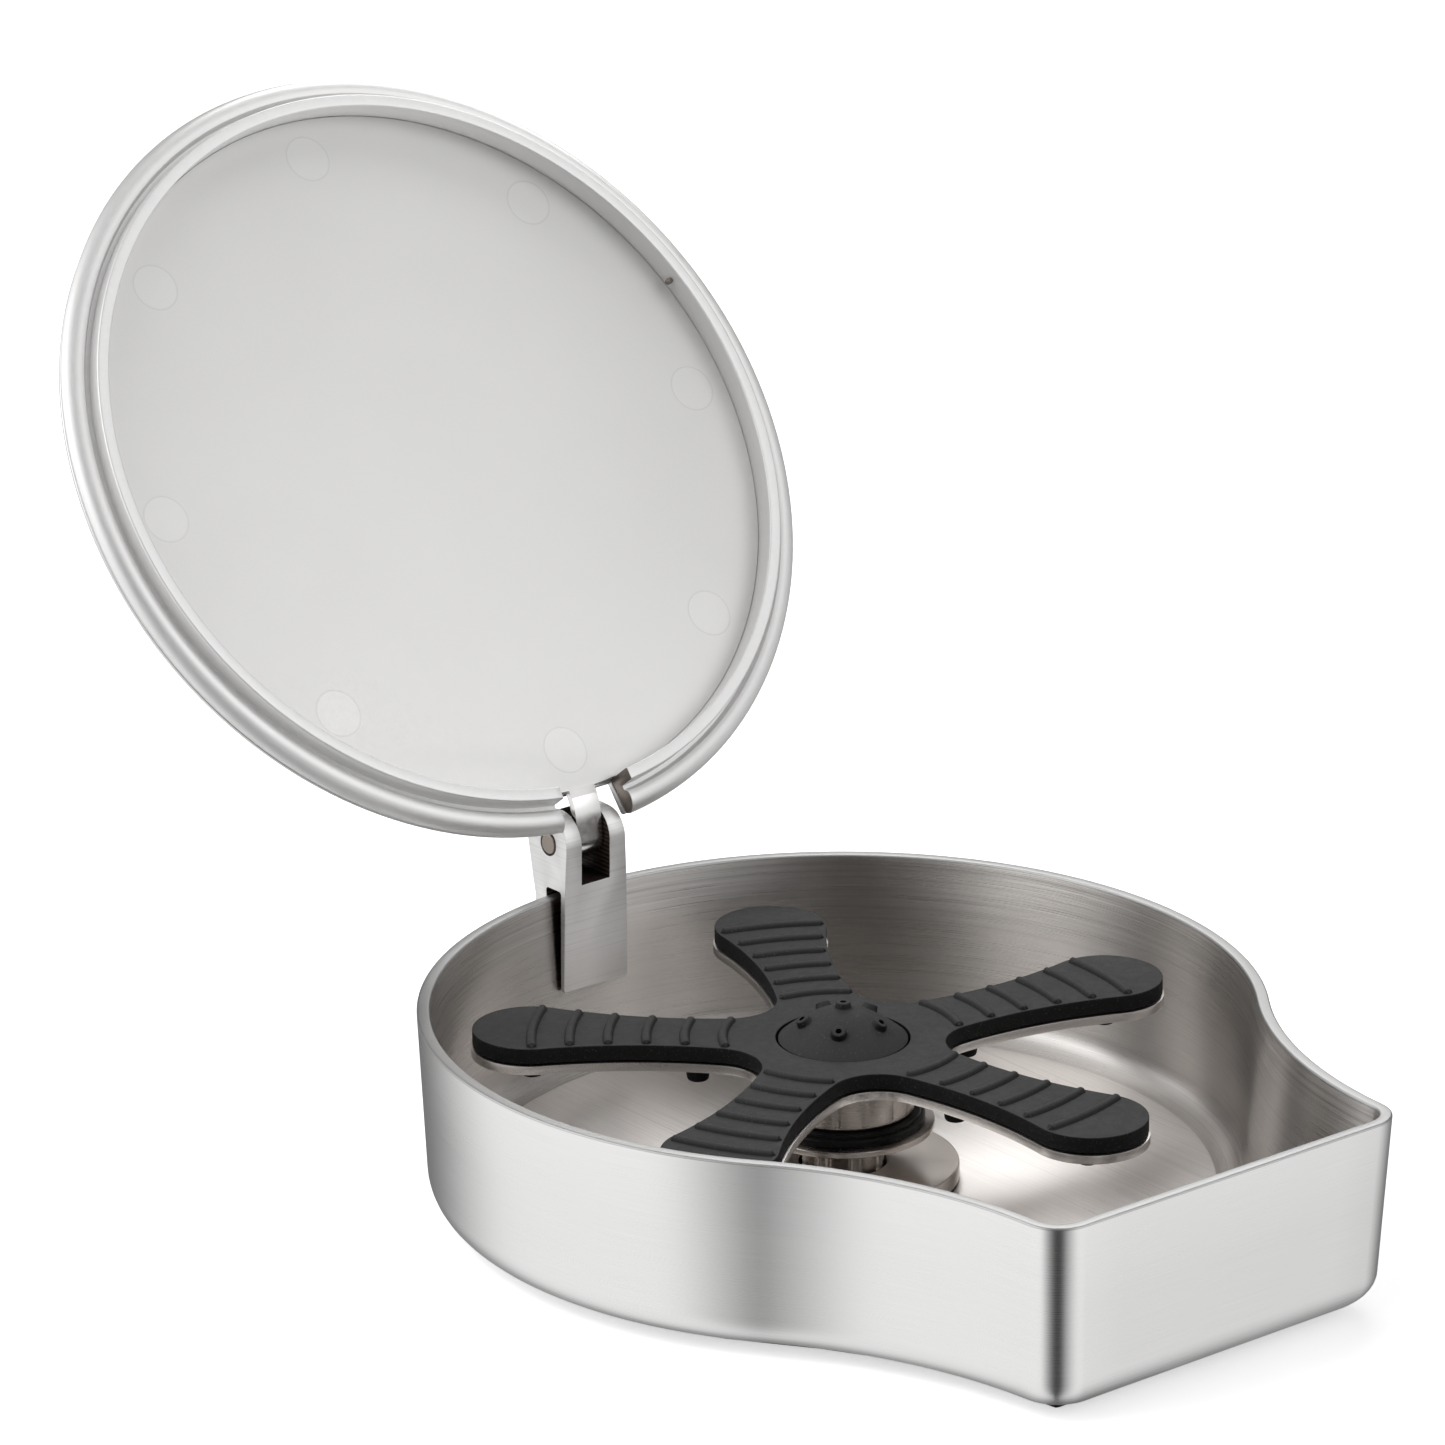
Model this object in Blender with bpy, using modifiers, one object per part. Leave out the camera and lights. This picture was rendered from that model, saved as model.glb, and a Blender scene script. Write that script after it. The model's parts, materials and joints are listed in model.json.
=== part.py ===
"""Countertop glass rinser: a steel basin with a pouring prow, a five-armed star that presses a
spring-loaded water valve and turns on it, and a hinged round lid.

The origin is on the worktop, on the axis of the round part of the basin. +Z is up, the prow points
to -Y and the lid's hinge is at +Y. The lid stands open. Below z = 0 are the tails that pass through
the worktop.
"""

import math

import bmesh
import bpy
from mathutils import Matrix, Vector

MM = 0.001
SMOOTH_ANGLE = math.radians(32)
GAP = 0.3  # clearance between pieces that touch, in mm, as every length below

# Basin: a circle that flares into a prow with a flat front
BOWL_RADIUS = 70.0
PROW_REACH = 94.5
PROW_CORNER_X = 31.1
PROW_CORNER_RADIUS = 6.5
FLARE_RADIUS = 78.0
SHEET = 2.1
BASIN_UNDERSIDE = 1.0
RIM_Z = 34.0
DRAFT = math.tan(math.radians(2.75))
FOOT_RADIUS = 6.0
FLOOR_FILLET = 5.0
FLOOR_Z = BASIN_UNDERSIDE + SHEET
BOWL_STEPS = 20
FLARE_STEPS = 6
CORNER_STEPS = 3
FILLET_STEPS = 3
COUNTER_GASKET_INSETS = (8.0, 14.0)

# Holes in the floor
VALVE_HOLE_RADIUS = 10.8
DRAIN_Y = -64.0
DRAIN_HOLE_RADIUS = 14.5

# Drain
DRAIN_FLANGE_RADIUS = 19.0
DRAIN_FLANGE_Z = (FLOOR_Z + 1.3, FLOOR_Z + 3.5)
DRAIN_TAIL_RADIUS = 14.1
DRAIN_BORE = 12.0
DRAIN_RECESS_RADIUS = 15.5
DRAIN_RECESS_FLOOR = DRAIN_FLANGE_Z[0] + 0.8
DRAIN_GASKET_RADII = (14.9, 18.5)
STRAINER_TOP = DRAIN_RECESS_FLOOR + 1.2
STRAINER_HOLE = 1.4
STRAINER_RINGS = ((6, 5.2), (12, 10.2))  # holes, and the radius they stand on

# Worktop the tails are made for, and the fixings under it: (outer radius, thickness)
WORKTOP = 30.0
BODY_SEAL = (20.0, 1.7)
BODY_WASHER = (19.0, 1.6)
BACK_NUT_FLATS = 27.0
BACK_NUT_HEIGHT = 6.3
DRAIN_WASHER = (21.0, 1.7)
DRAIN_NUT_FLATS = 36.0
DRAIN_NUT_HEIGHT = 6.2

# Valve
VALVE_FLANGE_RADIUS = 19.3
VALVE_FLANGE_TOP = 6.0
SHANK_RADIUS = 10.4
SHANK_END = -45.0
VALVE_BORE = 7.3
SEAT_TOP = -12.0
SEAT_UNDERSIDE = -15.0
SEAT_HOLE = 4.5
CHAMBER_RADIUS = 7.5
RING_GROOVE_RADIUS = 8.1
RING_GROOVE_TOP = -38.9
RING_GROOVE_END = -40.3
GASKET_GROOVE = (12.7, 17.8)
GASKET_GROOVE_TOP = FLOOR_Z + 1.6
FLANGE_CHAMFER = 0.6

# Plunger
STEM_RADIUS = 6.8
STEM_END = -6.8
DISC_RADIUS = 15.2
DISC_Z = (12.3, 13.4)
SPIGOT_RADIUS = 5.5
SPIGOT_TOP = 20.5
CLIP_GROOVE_RADIUS = 4.6
WATERWAY_RADIUS = 2.6
WATERWAY_END = -11.0
NECK_RADIUS = 4.0
NECK_END = -11.7
ROD_RADIUS = 3.0
ROD_SHOULDER = SEAT_UNDERSIDE
STUD_RADIUS = 2.0
STUD_END = -21.0
ORING_HEIGHTS = (-1.6, -5.0)
ORING_SECTION = 0.5
ORING_MAJOR = 6.5
CROSS_HOLE_RADIUS = 0.8
CROSS_HOLE_Z = -10.1
FLUTES = 8
FLUTE_RADIUS = 0.9
FLUTE_Z = (1.5, 11.6)
SEAL_RING_RADII = (9.0, 13.5)
POPPET_SEAL = (6.6, 1.5)  # radius, thickness
POPPET_WASHER = (6.4, 0.8)
POPPET_NUT_FLATS = 7.0
POPPET_NUT_HEIGHT = 2.2
HUB_CLIP_RADIUS = 7.4
HUB_CLIP_THICKNESS = 0.8

# Return spring
SPRING_RADIUS = 5.2
SPRING_WIRE = 0.9
SPRING_Z = (-37.6, -18.2)
SPRING_ACTIVE_TURNS = 5
SPRING_POINTS_PER_TURN = 12
RETAINER_BORE = 3.4
RETAINER_NOTCHES = 6
RETAINING_RING_BORE = 6.3

# Star
ARMS = 5
FIRST_ARM = math.radians(63.6)
TIP_CENTRE = 51.8
TIP_RADIUS = 9.8
WAIST_X = 28.0
WAIST_HALF_WIDTH = 6.4
CROTCH_CENTRE = 25.1
CROTCH_RADIUS = 7.9
TIP_STEPS = 8
FLANK_STEPS = 5
CROTCH_STEPS = 3
PLATE_Z = (23.3, 24.8)
PAD_Z = (25.1, 27.8)
PLATE_HOLE = 10.0
PAD_HOLE = 11.1
PLUG_RADII = (24.0, 51.5)
PLUG_STEM = 1.3
PLUG_HEAD = 2.3
PLUG_TIP = 1.7
PLUG_Z = (19.5, 23.0)

# Hub and spray dome
HUB_RADIUS = 11.9
HUB_Z = (15.8, 23.0)
HUB_SPIGOT_RADIUS = 9.7
HUB_SPIGOT_TOP = 24.6
HUB_CUP_RADIUS = 8.6
HUB_WEB_TOP = 18.5
HUB_BORE = 5.9
DOME_RADIUS = 10.7
DOME_SHOULDER = 27.6
DOME_TOP = 33.0
DOME_WALL = 1.7
SKIRT_RADII = (7.0, 8.3)
SKIRT_END = 20.2
NOZZLE_RING = 6.4
NOZZLE_TURN = math.radians(-136.3)
NOZZLE_RADIUS = 1.15
NOZZLE_RISE = 0.8
NOZZLE_HOLE = 0.5

# Hinge
HINGE_Y = 70.0
HINGE_Z = 43.0
LID_OPENING = math.radians(128.2)
BRACKET_HALF_WIDTH = 6.65
BRACKET_FRONT = 65.0
BRACKET_FOOT_Z = 16.9
BRACKET_BACK = 73.2
BRACKET_BACK_TOP_Z = 33.0
EAR_RADIUS = 5.3
SLOT_TOP = 35.3
SLOT_FRONT = 67.25
POCKET_HALF_WIDTH = 3.0
POCKET_FLOOR = 36.1
POCKET_BACK = 74.0
PIN_RADIUS = 1.8
SCREW_HEIGHTS = {"clamp_screw_upper": 29.0, "clamp_screw_lower": 22.0}
SCREW_RADIUS = 1.5
SCREW_SOCKET = 0.9

# Lid, described closed: these heights are above the worktop with the lid shut
LID_RADIUS = 70.7
LID_REST_Z = 34.4
LID_WIDEST_Z = 35.9
LIP_RADII = (63.8, 66.0)
LIP_END = 32.2
PANEL_RADIUS = 63.5
PANEL_Z = (36.4, 37.6)
COVER_Z = (37.9, 39.1)
COVER_RADIUS = 70.2
NOTCH_HALF_WIDTH = 7.3
NOTCH_FLOOR = 63.8
LID_STEPS = 64
STRAP_HALF_WIDTH = 2.55
STRAP_THICKNESS = 1.3
KNUCKLE_RADIUS = 2.85
KNUCKLE_START = math.radians(-58)
STOP_TAIL = 2.6


def clear_scene():
    for item in list(bpy.data.objects):
        bpy.data.objects.remove(item)


def material(name, colour, roughness, metallic):
    shade = bpy.data.materials.new(name)
    shade.use_nodes = True
    shader = shade.node_tree.nodes["Principled BSDF"]
    shader.inputs["Base Color"].default_value = (*colour, 1)
    shader.inputs["Roughness"].default_value = roughness
    shader.inputs["Metallic"].default_value = metallic
    return shade


def collection(name):
    group = bpy.data.collections.new(name)
    bpy.context.scene.collection.children.link(group)
    return group


def place(name, mesh, parent=None):
    """Link a mesh or curve made in millimetres, in its parent's frame."""
    mesh.transform(Matrix.Scale(MM, 4))
    item = bpy.data.objects.new(name, mesh)
    PARTS.objects.link(item)
    item.parent = parent
    return item


def finish(item, shade):
    """Turn the modifiers into mesh, weld it, shade it smooth up to a limit angle and give it a material."""
    bpy.context.view_layer.update()
    evaluated = item.evaluated_get(bpy.context.evaluated_depsgraph_get())
    mesh = bpy.data.meshes.new_from_object(evaluated)
    item.modifiers.clear()
    if item.type == "CURVE":
        solid = bpy.data.objects.new(item.name, mesh)
        PARTS.objects.link(solid)
        solid.parent = item.parent
        solid.matrix_world = item.matrix_world
        name = item.name
        bpy.data.objects.remove(item)
        solid.name = name
        item = solid
    else:
        item.data = mesh
    shell = bmesh.new()
    shell.from_mesh(mesh)
    bmesh.ops.remove_doubles(shell, verts=shell.verts, dist=0.005 * MM)
    shell.to_mesh(mesh)
    shell.free()
    mesh.name = item.name
    mesh.materials.clear()
    mesh.materials.append(shade)
    mesh.shade_smooth()
    mesh.set_sharp_from_angle(angle=SMOOTH_ANGLE)
    return item


def combine(item, others, operation):
    """Cut the other solids out of item, or join them to it, and take them away."""
    for other in others:
        PARTS.objects.unlink(other)
        CUTTERS.objects.link(other)
        other.hide_render = True
        other.display_type = "WIRE"
        boolean = item.modifiers.new(other.name, "BOOLEAN")
        boolean.operation = operation
        boolean.solver = "EXACT"
        boolean.object = other
    bpy.context.view_layer.update()
    evaluated = item.evaluated_get(bpy.context.evaluated_depsgraph_get())
    item.data = bpy.data.meshes.new_from_object(evaluated)
    item.modifiers.clear()
    for other in others:
        bpy.data.objects.remove(other)


def cut(item, cutters):
    combine(item, cutters, "DIFFERENCE")


def turned(name, profile, steps=24, centre=(0.0, 0.0), parent=None):
    """A solid of revolution about Z from (radius, height) points, closed through the axis or on itself."""
    doubled_area = sum(a[0] * b[1] - b[0] * a[1] for a, b in zip(profile, profile[1:] + profile[:1]))
    if doubled_area > 0:
        profile = profile[::-1]
    on_axis = [i for i, point in enumerate(profile) if point[0] == 0]
    if on_axis:
        start = next(i for i in on_axis if (i - 1) % len(profile) in on_axis)
        profile = profile[start:] + profile[:start]
    outline = bmesh.new()
    corners = [outline.verts.new((radius, 0, height)) for radius, height in profile]
    for first, second in zip(corners, corners[1:]):
        outline.edges.new((first, second))
    if not on_axis:
        outline.edges.new((corners[-1], corners[0]))
    mesh = bpy.data.meshes.new(name)
    outline.to_mesh(mesh)
    outline.free()
    item = place(name, mesh, parent)
    item.location = (centre[0] * MM, centre[1] * MM, 0)
    screw = item.modifiers.new("turn", "SCREW")
    screw.steps = screw.render_steps = steps
    screw.use_merge_vertices = True
    screw.merge_threshold = 0.01 * MM
    return item


def ring(name, inner, outer, low, high, steps=24, centre=(0.0, 0.0)):
    return turned(name, [(inner, low), (outer, low), (outer, high), (inner, high)], steps, centre)


def rod(name, radius, start, end, steps=16, tip_radius=None, parent=None):
    """A solid cylinder or cone from point start to point end."""
    start, end = Vector(start), Vector(end)
    solid = bmesh.new()
    bmesh.ops.create_cone(
        solid,
        cap_ends=True,
        segments=steps,
        radius1=radius,
        radius2=radius if tip_radius is None else tip_radius,
        depth=(end - start).length,
        matrix=Matrix.Translation((start + end) / 2) @ (end - start).to_track_quat("Z", "X").to_matrix().to_4x4(),
    )
    mesh = bpy.data.meshes.new(name)
    solid.to_mesh(mesh)
    solid.free()
    return place(name, mesh, parent)


def block(name, low, high, parent=None):
    low, high = Vector(low), Vector(high)
    solid = bmesh.new()
    bmesh.ops.create_cube(solid, size=1)
    bmesh.ops.scale(solid, vec=high - low, verts=solid.verts)
    bmesh.ops.translate(solid, vec=(low + high) / 2, verts=solid.verts)
    mesh = bpy.data.meshes.new(name)
    solid.to_mesh(mesh)
    solid.free()
    return place(name, mesh, parent)


def slab(name, loops, low, high, parent=None):
    """A flat piece between two heights. The first loop is its outline and the others are holes."""
    curve = bpy.data.curves.new(name, "CURVE")
    curve.dimensions = "2D"
    curve.fill_mode = "BOTH"
    curve.extrude = (high - low) / 2
    for loop in loops:
        spline = curve.splines.new("POLY")
        spline.points.add(len(loop) - 1)
        for point, (x, y) in zip(spline.points, loop):
            point.co = (x, y, 0, 1)
        spline.use_cyclic_u = True
    item = bpy.data.objects.new(name, curve)
    bpy.context.scene.collection.objects.link(item)
    bpy.context.view_layer.update()
    mesh = bpy.data.meshes.new_from_object(item.evaluated_get(bpy.context.evaluated_depsgraph_get()))
    bpy.data.objects.remove(item)
    solid = bmesh.new()
    solid.from_mesh(mesh)
    bmesh.ops.remove_doubles(solid, verts=solid.verts, dist=0.005)
    bmesh.ops.recalc_face_normals(solid, faces=solid.faces)
    bmesh.ops.translate(solid, vec=(0, 0, (low + high) / 2), verts=solid.verts)
    solid.to_mesh(mesh)
    solid.free()
    return place(name, mesh, parent)


def side_slab(name, outline, half_width, parent=None):
    """A piece with a (y, z) side outline, as wide as twice half_width along X."""
    item = slab(name, [outline], -half_width, half_width)
    item.data.transform(Matrix(((0, 0, 1, 0), (1, 0, 0, 0), (0, 1, 0, 0), (0, 0, 0, 1))))
    item.parent = parent
    return item


def arc(centre, radius, start, end, steps, ends=(True, True)):
    """Points on an arc. Either end point can be left out."""
    first = 0 if ends[0] else 1
    last = steps if ends[1] else steps - 1
    turn = (end - start) / steps
    return [
        (
            centre[0] + radius * math.cos(start + turn * i),
            centre[1] + radius * math.sin(start + turn * i),
        )
        for i in range(first, last + 1)
    ]


def circle(centre, radius, steps):
    return arc(centre, radius, 0, 2 * math.pi, steps, (True, False))


def turn_point(point, angle):
    return (
        point[0] * math.cos(angle) - point[1] * math.sin(angle),
        point[0] * math.sin(angle) + point[1] * math.cos(angle),
    )


def hexagon(across_flats, centre=(0.0, 0.0)):
    return circle(centre, across_flats / math.sqrt(3), 6)


def nut(name, across_flats, bore, low, high, centre=(0.0, 0.0), steps=24):
    return slab(name, [hexagon(across_flats, centre), circle(centre, bore, steps)], low, high)


# ---- Basin ----


def flare_centre():
    """Centre of the hollow arc that touches the bowl's circle and the prow's corner arc."""
    corner = Vector((PROW_CORNER_X, PROW_CORNER_RADIUS - PROW_REACH))
    to_bowl = BOWL_RADIUS + FLARE_RADIUS
    to_corner = FLARE_RADIUS + PROW_CORNER_RADIUS
    along = (to_bowl**2 - to_corner**2 + corner.length_squared) / (2 * corner.length)
    aside = math.sqrt(to_bowl**2 - along**2)
    direction = corner.normalized()
    return direction * along + Vector((-direction.y, direction.x)) * aside


def basin_outline(inset):
    """The basin's plan outline, moved inwards by inset, anticlockwise."""
    centre = flare_centre()
    tangent = math.atan2(centre.y, centre.x)
    corner_radius = max(PROW_CORNER_RADIUS - inset, 0.6)
    corner_y = inset + corner_radius - PROW_REACH
    flare = FLARE_RADIUS + inset
    corner_x = centre.x - math.sqrt((flare + corner_radius) ** 2 - (corner_y - centre.y) ** 2)
    meeting = math.atan2(corner_y - centre.y, corner_x - centre.x) % (2 * math.pi)
    right = arc((corner_x, corner_y), corner_radius, -math.pi / 2, meeting - math.pi, CORNER_STEPS)
    right += arc(centre, flare, meeting, tangent + math.pi, FLARE_STEPS, (False, True))
    right += arc((0, 0), BOWL_RADIUS - inset, tangent, math.pi / 2, BOWL_STEPS, (False, True))
    left = [(-x, y) for x, y in reversed(right[:-1])]
    return right + left


def wall_inset(height):
    return (RIM_Z - height) * DRAFT


def basin_rows():
    """(inset, height) of each row of the wall, from the middle of the underside round to the floor."""
    foot_z = BASIN_UNDERSIDE + FOOT_RADIUS
    foot_inset = wall_inset(foot_z) + FOOT_RADIUS
    quarter = math.pi / 2
    rows = [
        (foot_inset - FOOT_RADIUS * math.sin(t), foot_z - FOOT_RADIUS * math.cos(t))
        for t in [quarter * i / FILLET_STEPS for i in range(FILLET_STEPS + 1)]
    ]
    rows += [(0, RIM_Z), (SHEET, RIM_Z)]
    fillet_z = FLOOR_Z + FLOOR_FILLET
    fillet_inset = wall_inset(fillet_z) + SHEET + FLOOR_FILLET
    rows += [
        (fillet_inset - FLOOR_FILLET * math.cos(t), fillet_z - FLOOR_FILLET * math.sin(t))
        for t in [quarter * i / FILLET_STEPS for i in range(FILLET_STEPS + 1)]
    ]
    return rows


def build_basin():
    shell = bmesh.new()
    rows = [
        [shell.verts.new((x, y, height)) for x, y in basin_outline(inset)]
        for inset, height in basin_rows()
    ]
    for lower, upper in zip(rows, rows[1:]):
        for i in range(len(lower)):
            j = (i + 1) % len(lower)
            shell.faces.new((lower[i], lower[j], upper[j], upper[i]))
    shell.faces.new(rows[0])
    shell.faces.new(rows[-1])
    bmesh.ops.recalc_face_normals(shell, faces=shell.faces)
    mesh = bpy.data.meshes.new("basin")
    shell.to_mesh(mesh)
    shell.free()
    basin = place("basin", mesh)
    through = (BASIN_UNDERSIDE - 1, FLOOR_Z + 1)
    cut(
        basin,
        [
            rod("valve_hole", VALVE_HOLE_RADIUS, (0, 0, through[0]), (0, 0, through[1]), 32),
            rod("drain_hole", DRAIN_HOLE_RADIUS, (0, DRAIN_Y, through[0]), (0, DRAIN_Y, through[1]), 32),
        ],
    )
    finish(basin, STEEL)
    band = slab("counter_gasket", [basin_outline(inset) for inset in COUNTER_GASKET_INSETS], 0, BASIN_UNDERSIDE - GAP)
    finish(band, RUBBER)


# ---- Valve ----


def build_valve_body():
    profile = [
        (VALVE_BORE, VALVE_FLANGE_TOP),
        (VALVE_FLANGE_RADIUS - FLANGE_CHAMFER, VALVE_FLANGE_TOP),
        (VALVE_FLANGE_RADIUS, VALVE_FLANGE_TOP - FLANGE_CHAMFER),
        (VALVE_FLANGE_RADIUS, FLOOR_Z + GAP),
        (GASKET_GROOVE[1], FLOOR_Z + GAP),
        (GASKET_GROOVE[1], GASKET_GROOVE_TOP),
        (GASKET_GROOVE[0], GASKET_GROOVE_TOP),
        (GASKET_GROOVE[0], FLOOR_Z + GAP),
        (SHANK_RADIUS, FLOOR_Z + GAP),
        (SHANK_RADIUS, SHANK_END + 1),
        (SHANK_RADIUS - 1, SHANK_END),
        (CHAMBER_RADIUS, SHANK_END),
        (CHAMBER_RADIUS, RING_GROOVE_END),
        (RING_GROOVE_RADIUS, RING_GROOVE_END),
        (RING_GROOVE_RADIUS, RING_GROOVE_TOP),
        (CHAMBER_RADIUS, RING_GROOVE_TOP),
        (CHAMBER_RADIUS, SEAT_UNDERSIDE),
        (SEAT_HOLE, SEAT_UNDERSIDE),
        (SEAT_HOLE, SEAT_TOP),
        (VALVE_BORE, SEAT_TOP),
    ]
    finish(turned("valve_body", profile, 28), NICKEL)
    gasket = ring(
        "body_gasket",
        GASKET_GROOVE[0] + GAP,
        GASKET_GROOVE[1] - GAP,
        FLOOR_Z + GAP,
        GASKET_GROOVE_TOP - GAP,
    )
    finish(gasket, RUBBER)


def build_plunger():
    groove_depth = ORING_MAJOR - ORING_SECTION - GAP
    half_groove = ORING_SECTION + GAP
    clip_low = HUB_WEB_TOP
    clip_high = HUB_WEB_TOP + HUB_CLIP_THICKNESS + 2 * GAP
    profile = [
        (0, WATERWAY_END),
        (WATERWAY_RADIUS, WATERWAY_END),
        (WATERWAY_RADIUS, SPIGOT_TOP),
        (SPIGOT_RADIUS - 0.4, SPIGOT_TOP),
        (SPIGOT_RADIUS, SPIGOT_TOP - 0.4),
        (SPIGOT_RADIUS, clip_high),
        (CLIP_GROOVE_RADIUS, clip_high),
        (CLIP_GROOVE_RADIUS, clip_low),
        (SPIGOT_RADIUS, clip_low),
        (SPIGOT_RADIUS, DISC_Z[1]),
        (DISC_RADIUS, DISC_Z[1]),
        (DISC_RADIUS, DISC_Z[0]),
        (STEM_RADIUS, DISC_Z[0]),
    ]
    for height in ORING_HEIGHTS:
        profile += [
            (STEM_RADIUS, height + half_groove),
            (groove_depth, height + half_groove),
            (groove_depth, height - half_groove),
            (STEM_RADIUS, height - half_groove),
        ]
    profile += [
        (STEM_RADIUS, STEM_END),
        (NECK_RADIUS, STEM_END),
        (NECK_RADIUS, NECK_END),
        (ROD_RADIUS, NECK_END),
        (ROD_RADIUS, ROD_SHOULDER),
        (STUD_RADIUS, ROD_SHOULDER),
        (STUD_RADIUS, STUD_END),
        (0, STUD_END),
    ]
    plunger = turned("plunger", profile)
    cutters = [
        rod("cross_hole_x", CROSS_HOLE_RADIUS, (-9, 0, CROSS_HOLE_Z), (9, 0, CROSS_HOLE_Z), 8),
        rod("cross_hole_y", CROSS_HOLE_RADIUS, (0, -9, CROSS_HOLE_Z), (0, 9, CROSS_HOLE_Z), 8),
    ]
    for i in range(FLUTES):
        x, y = turn_point((STEM_RADIUS + 0.2, 0), 2 * math.pi * (i + 0.5) / FLUTES)
        cutters.append(rod(f"flute_{i}", FLUTE_RADIUS, (x, y, FLUTE_Z[0]), (x, y, FLUTE_Z[1]), 8))
    cut(plunger, cutters)
    finish(plunger, NICKEL)


def build_plunger_seals():
    for name, height in zip(("plunger_oring_upper", "plunger_oring_lower"), ORING_HEIGHTS):
        section = circle((ORING_MAJOR, height), ORING_SECTION, 6)
        finish(turned(name, section, 20), RUBBER)
    finish(ring("flange_seal_ring", *SEAL_RING_RADII, DISC_Z[1] + GAP, HUB_Z[0] - GAP), RUBBER)
    seal_top = ROD_SHOULDER - GAP
    seal_end = seal_top - POPPET_SEAL[1]
    washer_top = seal_end - GAP
    washer_end = washer_top - POPPET_WASHER[1]
    nut_top = washer_end - GAP
    nut_end = nut_top - POPPET_NUT_HEIGHT
    stud_bore = STUD_RADIUS + GAP
    finish(ring("poppet_seal", stud_bore, POPPET_SEAL[0], seal_end, seal_top), RUBBER)
    finish(ring("poppet_washer", stud_bore, POPPET_WASHER[0], washer_end, washer_top), STEEL)
    finish(nut("poppet_nut", POPPET_NUT_FLATS, stud_bore, nut_end, nut_top, steps=16), STEEL)


def build_hub_clip():
    low = HUB_WEB_TOP + GAP
    high = low + HUB_CLIP_THICKNESS
    clip = ring("hub_clip", CLIP_GROOVE_RADIUS + GAP, HUB_CLIP_RADIUS, low, high)
    cut(clip, [block("clip_mouth", (3, -1.6, low - 1), (9, 1.6, high + 1))])
    finish(clip, STEEL)


def build_spring():
    """An open coil with one closed turn at each end."""
    low = SPRING_Z[0] + SPRING_WIRE / 2
    high = SPRING_Z[1] - SPRING_WIRE / 2
    closed_rise = SPRING_WIRE + GAP
    pitch = (high - low - 2 * closed_rise) / SPRING_ACTIVE_TURNS
    turns = SPRING_ACTIVE_TURNS + 2
    count = turns * SPRING_POINTS_PER_TURN
    curve = bpy.data.curves.new("return_spring", "CURVE")
    curve.dimensions = "3D"
    curve.bevel_depth = SPRING_WIRE / 2
    curve.bevel_resolution = 2
    curve.use_fill_caps = True
    spline = curve.splines.new("POLY")
    spline.points.add(count)
    for i, point in enumerate(spline.points):
        turn = i / SPRING_POINTS_PER_TURN
        rise = min(turn, 1) * closed_rise
        rise += min(max(turn - 1, 0), SPRING_ACTIVE_TURNS) * pitch
        rise += max(turn - 1 - SPRING_ACTIVE_TURNS, 0) * closed_rise
        angle = 2 * math.pi * turn
        point.co = (SPRING_RADIUS * math.cos(angle), SPRING_RADIUS * math.sin(angle), low + rise, 1)
    item = bpy.data.objects.new("return_spring", curve)
    PARTS.objects.link(item)
    item.scale = (MM, MM, MM)
    bpy.context.view_layer.update()
    mesh = bpy.data.meshes.new_from_object(item.evaluated_get(bpy.context.evaluated_depsgraph_get()))
    bpy.data.objects.remove(item)
    finish(place("return_spring", mesh), STEEL)


def build_spring_seat():
    low, high = RING_GROOVE_TOP, SPRING_Z[0] - GAP
    retainer = ring("spring_retainer", RETAINER_BORE, CHAMBER_RADIUS - GAP, low, high)
    notches = []
    for i in range(RETAINER_NOTCHES):
        x, y = turn_point((CHAMBER_RADIUS - GAP, 0), 2 * math.pi * i / RETAINER_NOTCHES)
        notches.append(rod(f"notch_{i}", 1.0, (x, y, low - 1), (x, y, high + 1), 8))
    cut(retainer, notches)
    finish(retainer, STEEL)
    clip_z = (RING_GROOVE_END + GAP, RING_GROOVE_TOP - GAP)
    clip = ring("retaining_ring", RETAINING_RING_BORE, RING_GROOVE_RADIUS - GAP, *clip_z)
    cut(clip, [block("ring_mouth", (4, -1.5, clip_z[0] - 1), (10, 1.5, clip_z[1] + 1))])
    finish(clip, STEEL)


def build_under_counter_fixings():
    bore = SHANK_RADIUS + 0.4
    seal_top = -WORKTOP - GAP
    seal_end = seal_top - BODY_SEAL[1]
    washer_top = seal_end - GAP
    washer_end = washer_top - BODY_WASHER[1]
    nut_top = washer_end - GAP
    nut_end = nut_top - BACK_NUT_HEIGHT
    finish(ring("under_counter_seal", bore, BODY_SEAL[0], seal_end, seal_top), RUBBER)
    finish(ring("under_counter_washer", bore, BODY_WASHER[0], washer_end, washer_top), STEEL)
    finish(nut("back_nut", BACK_NUT_FLATS, SHANK_RADIUS + GAP, nut_end, nut_top), NICKEL)


# ---- Drain ----


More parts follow.
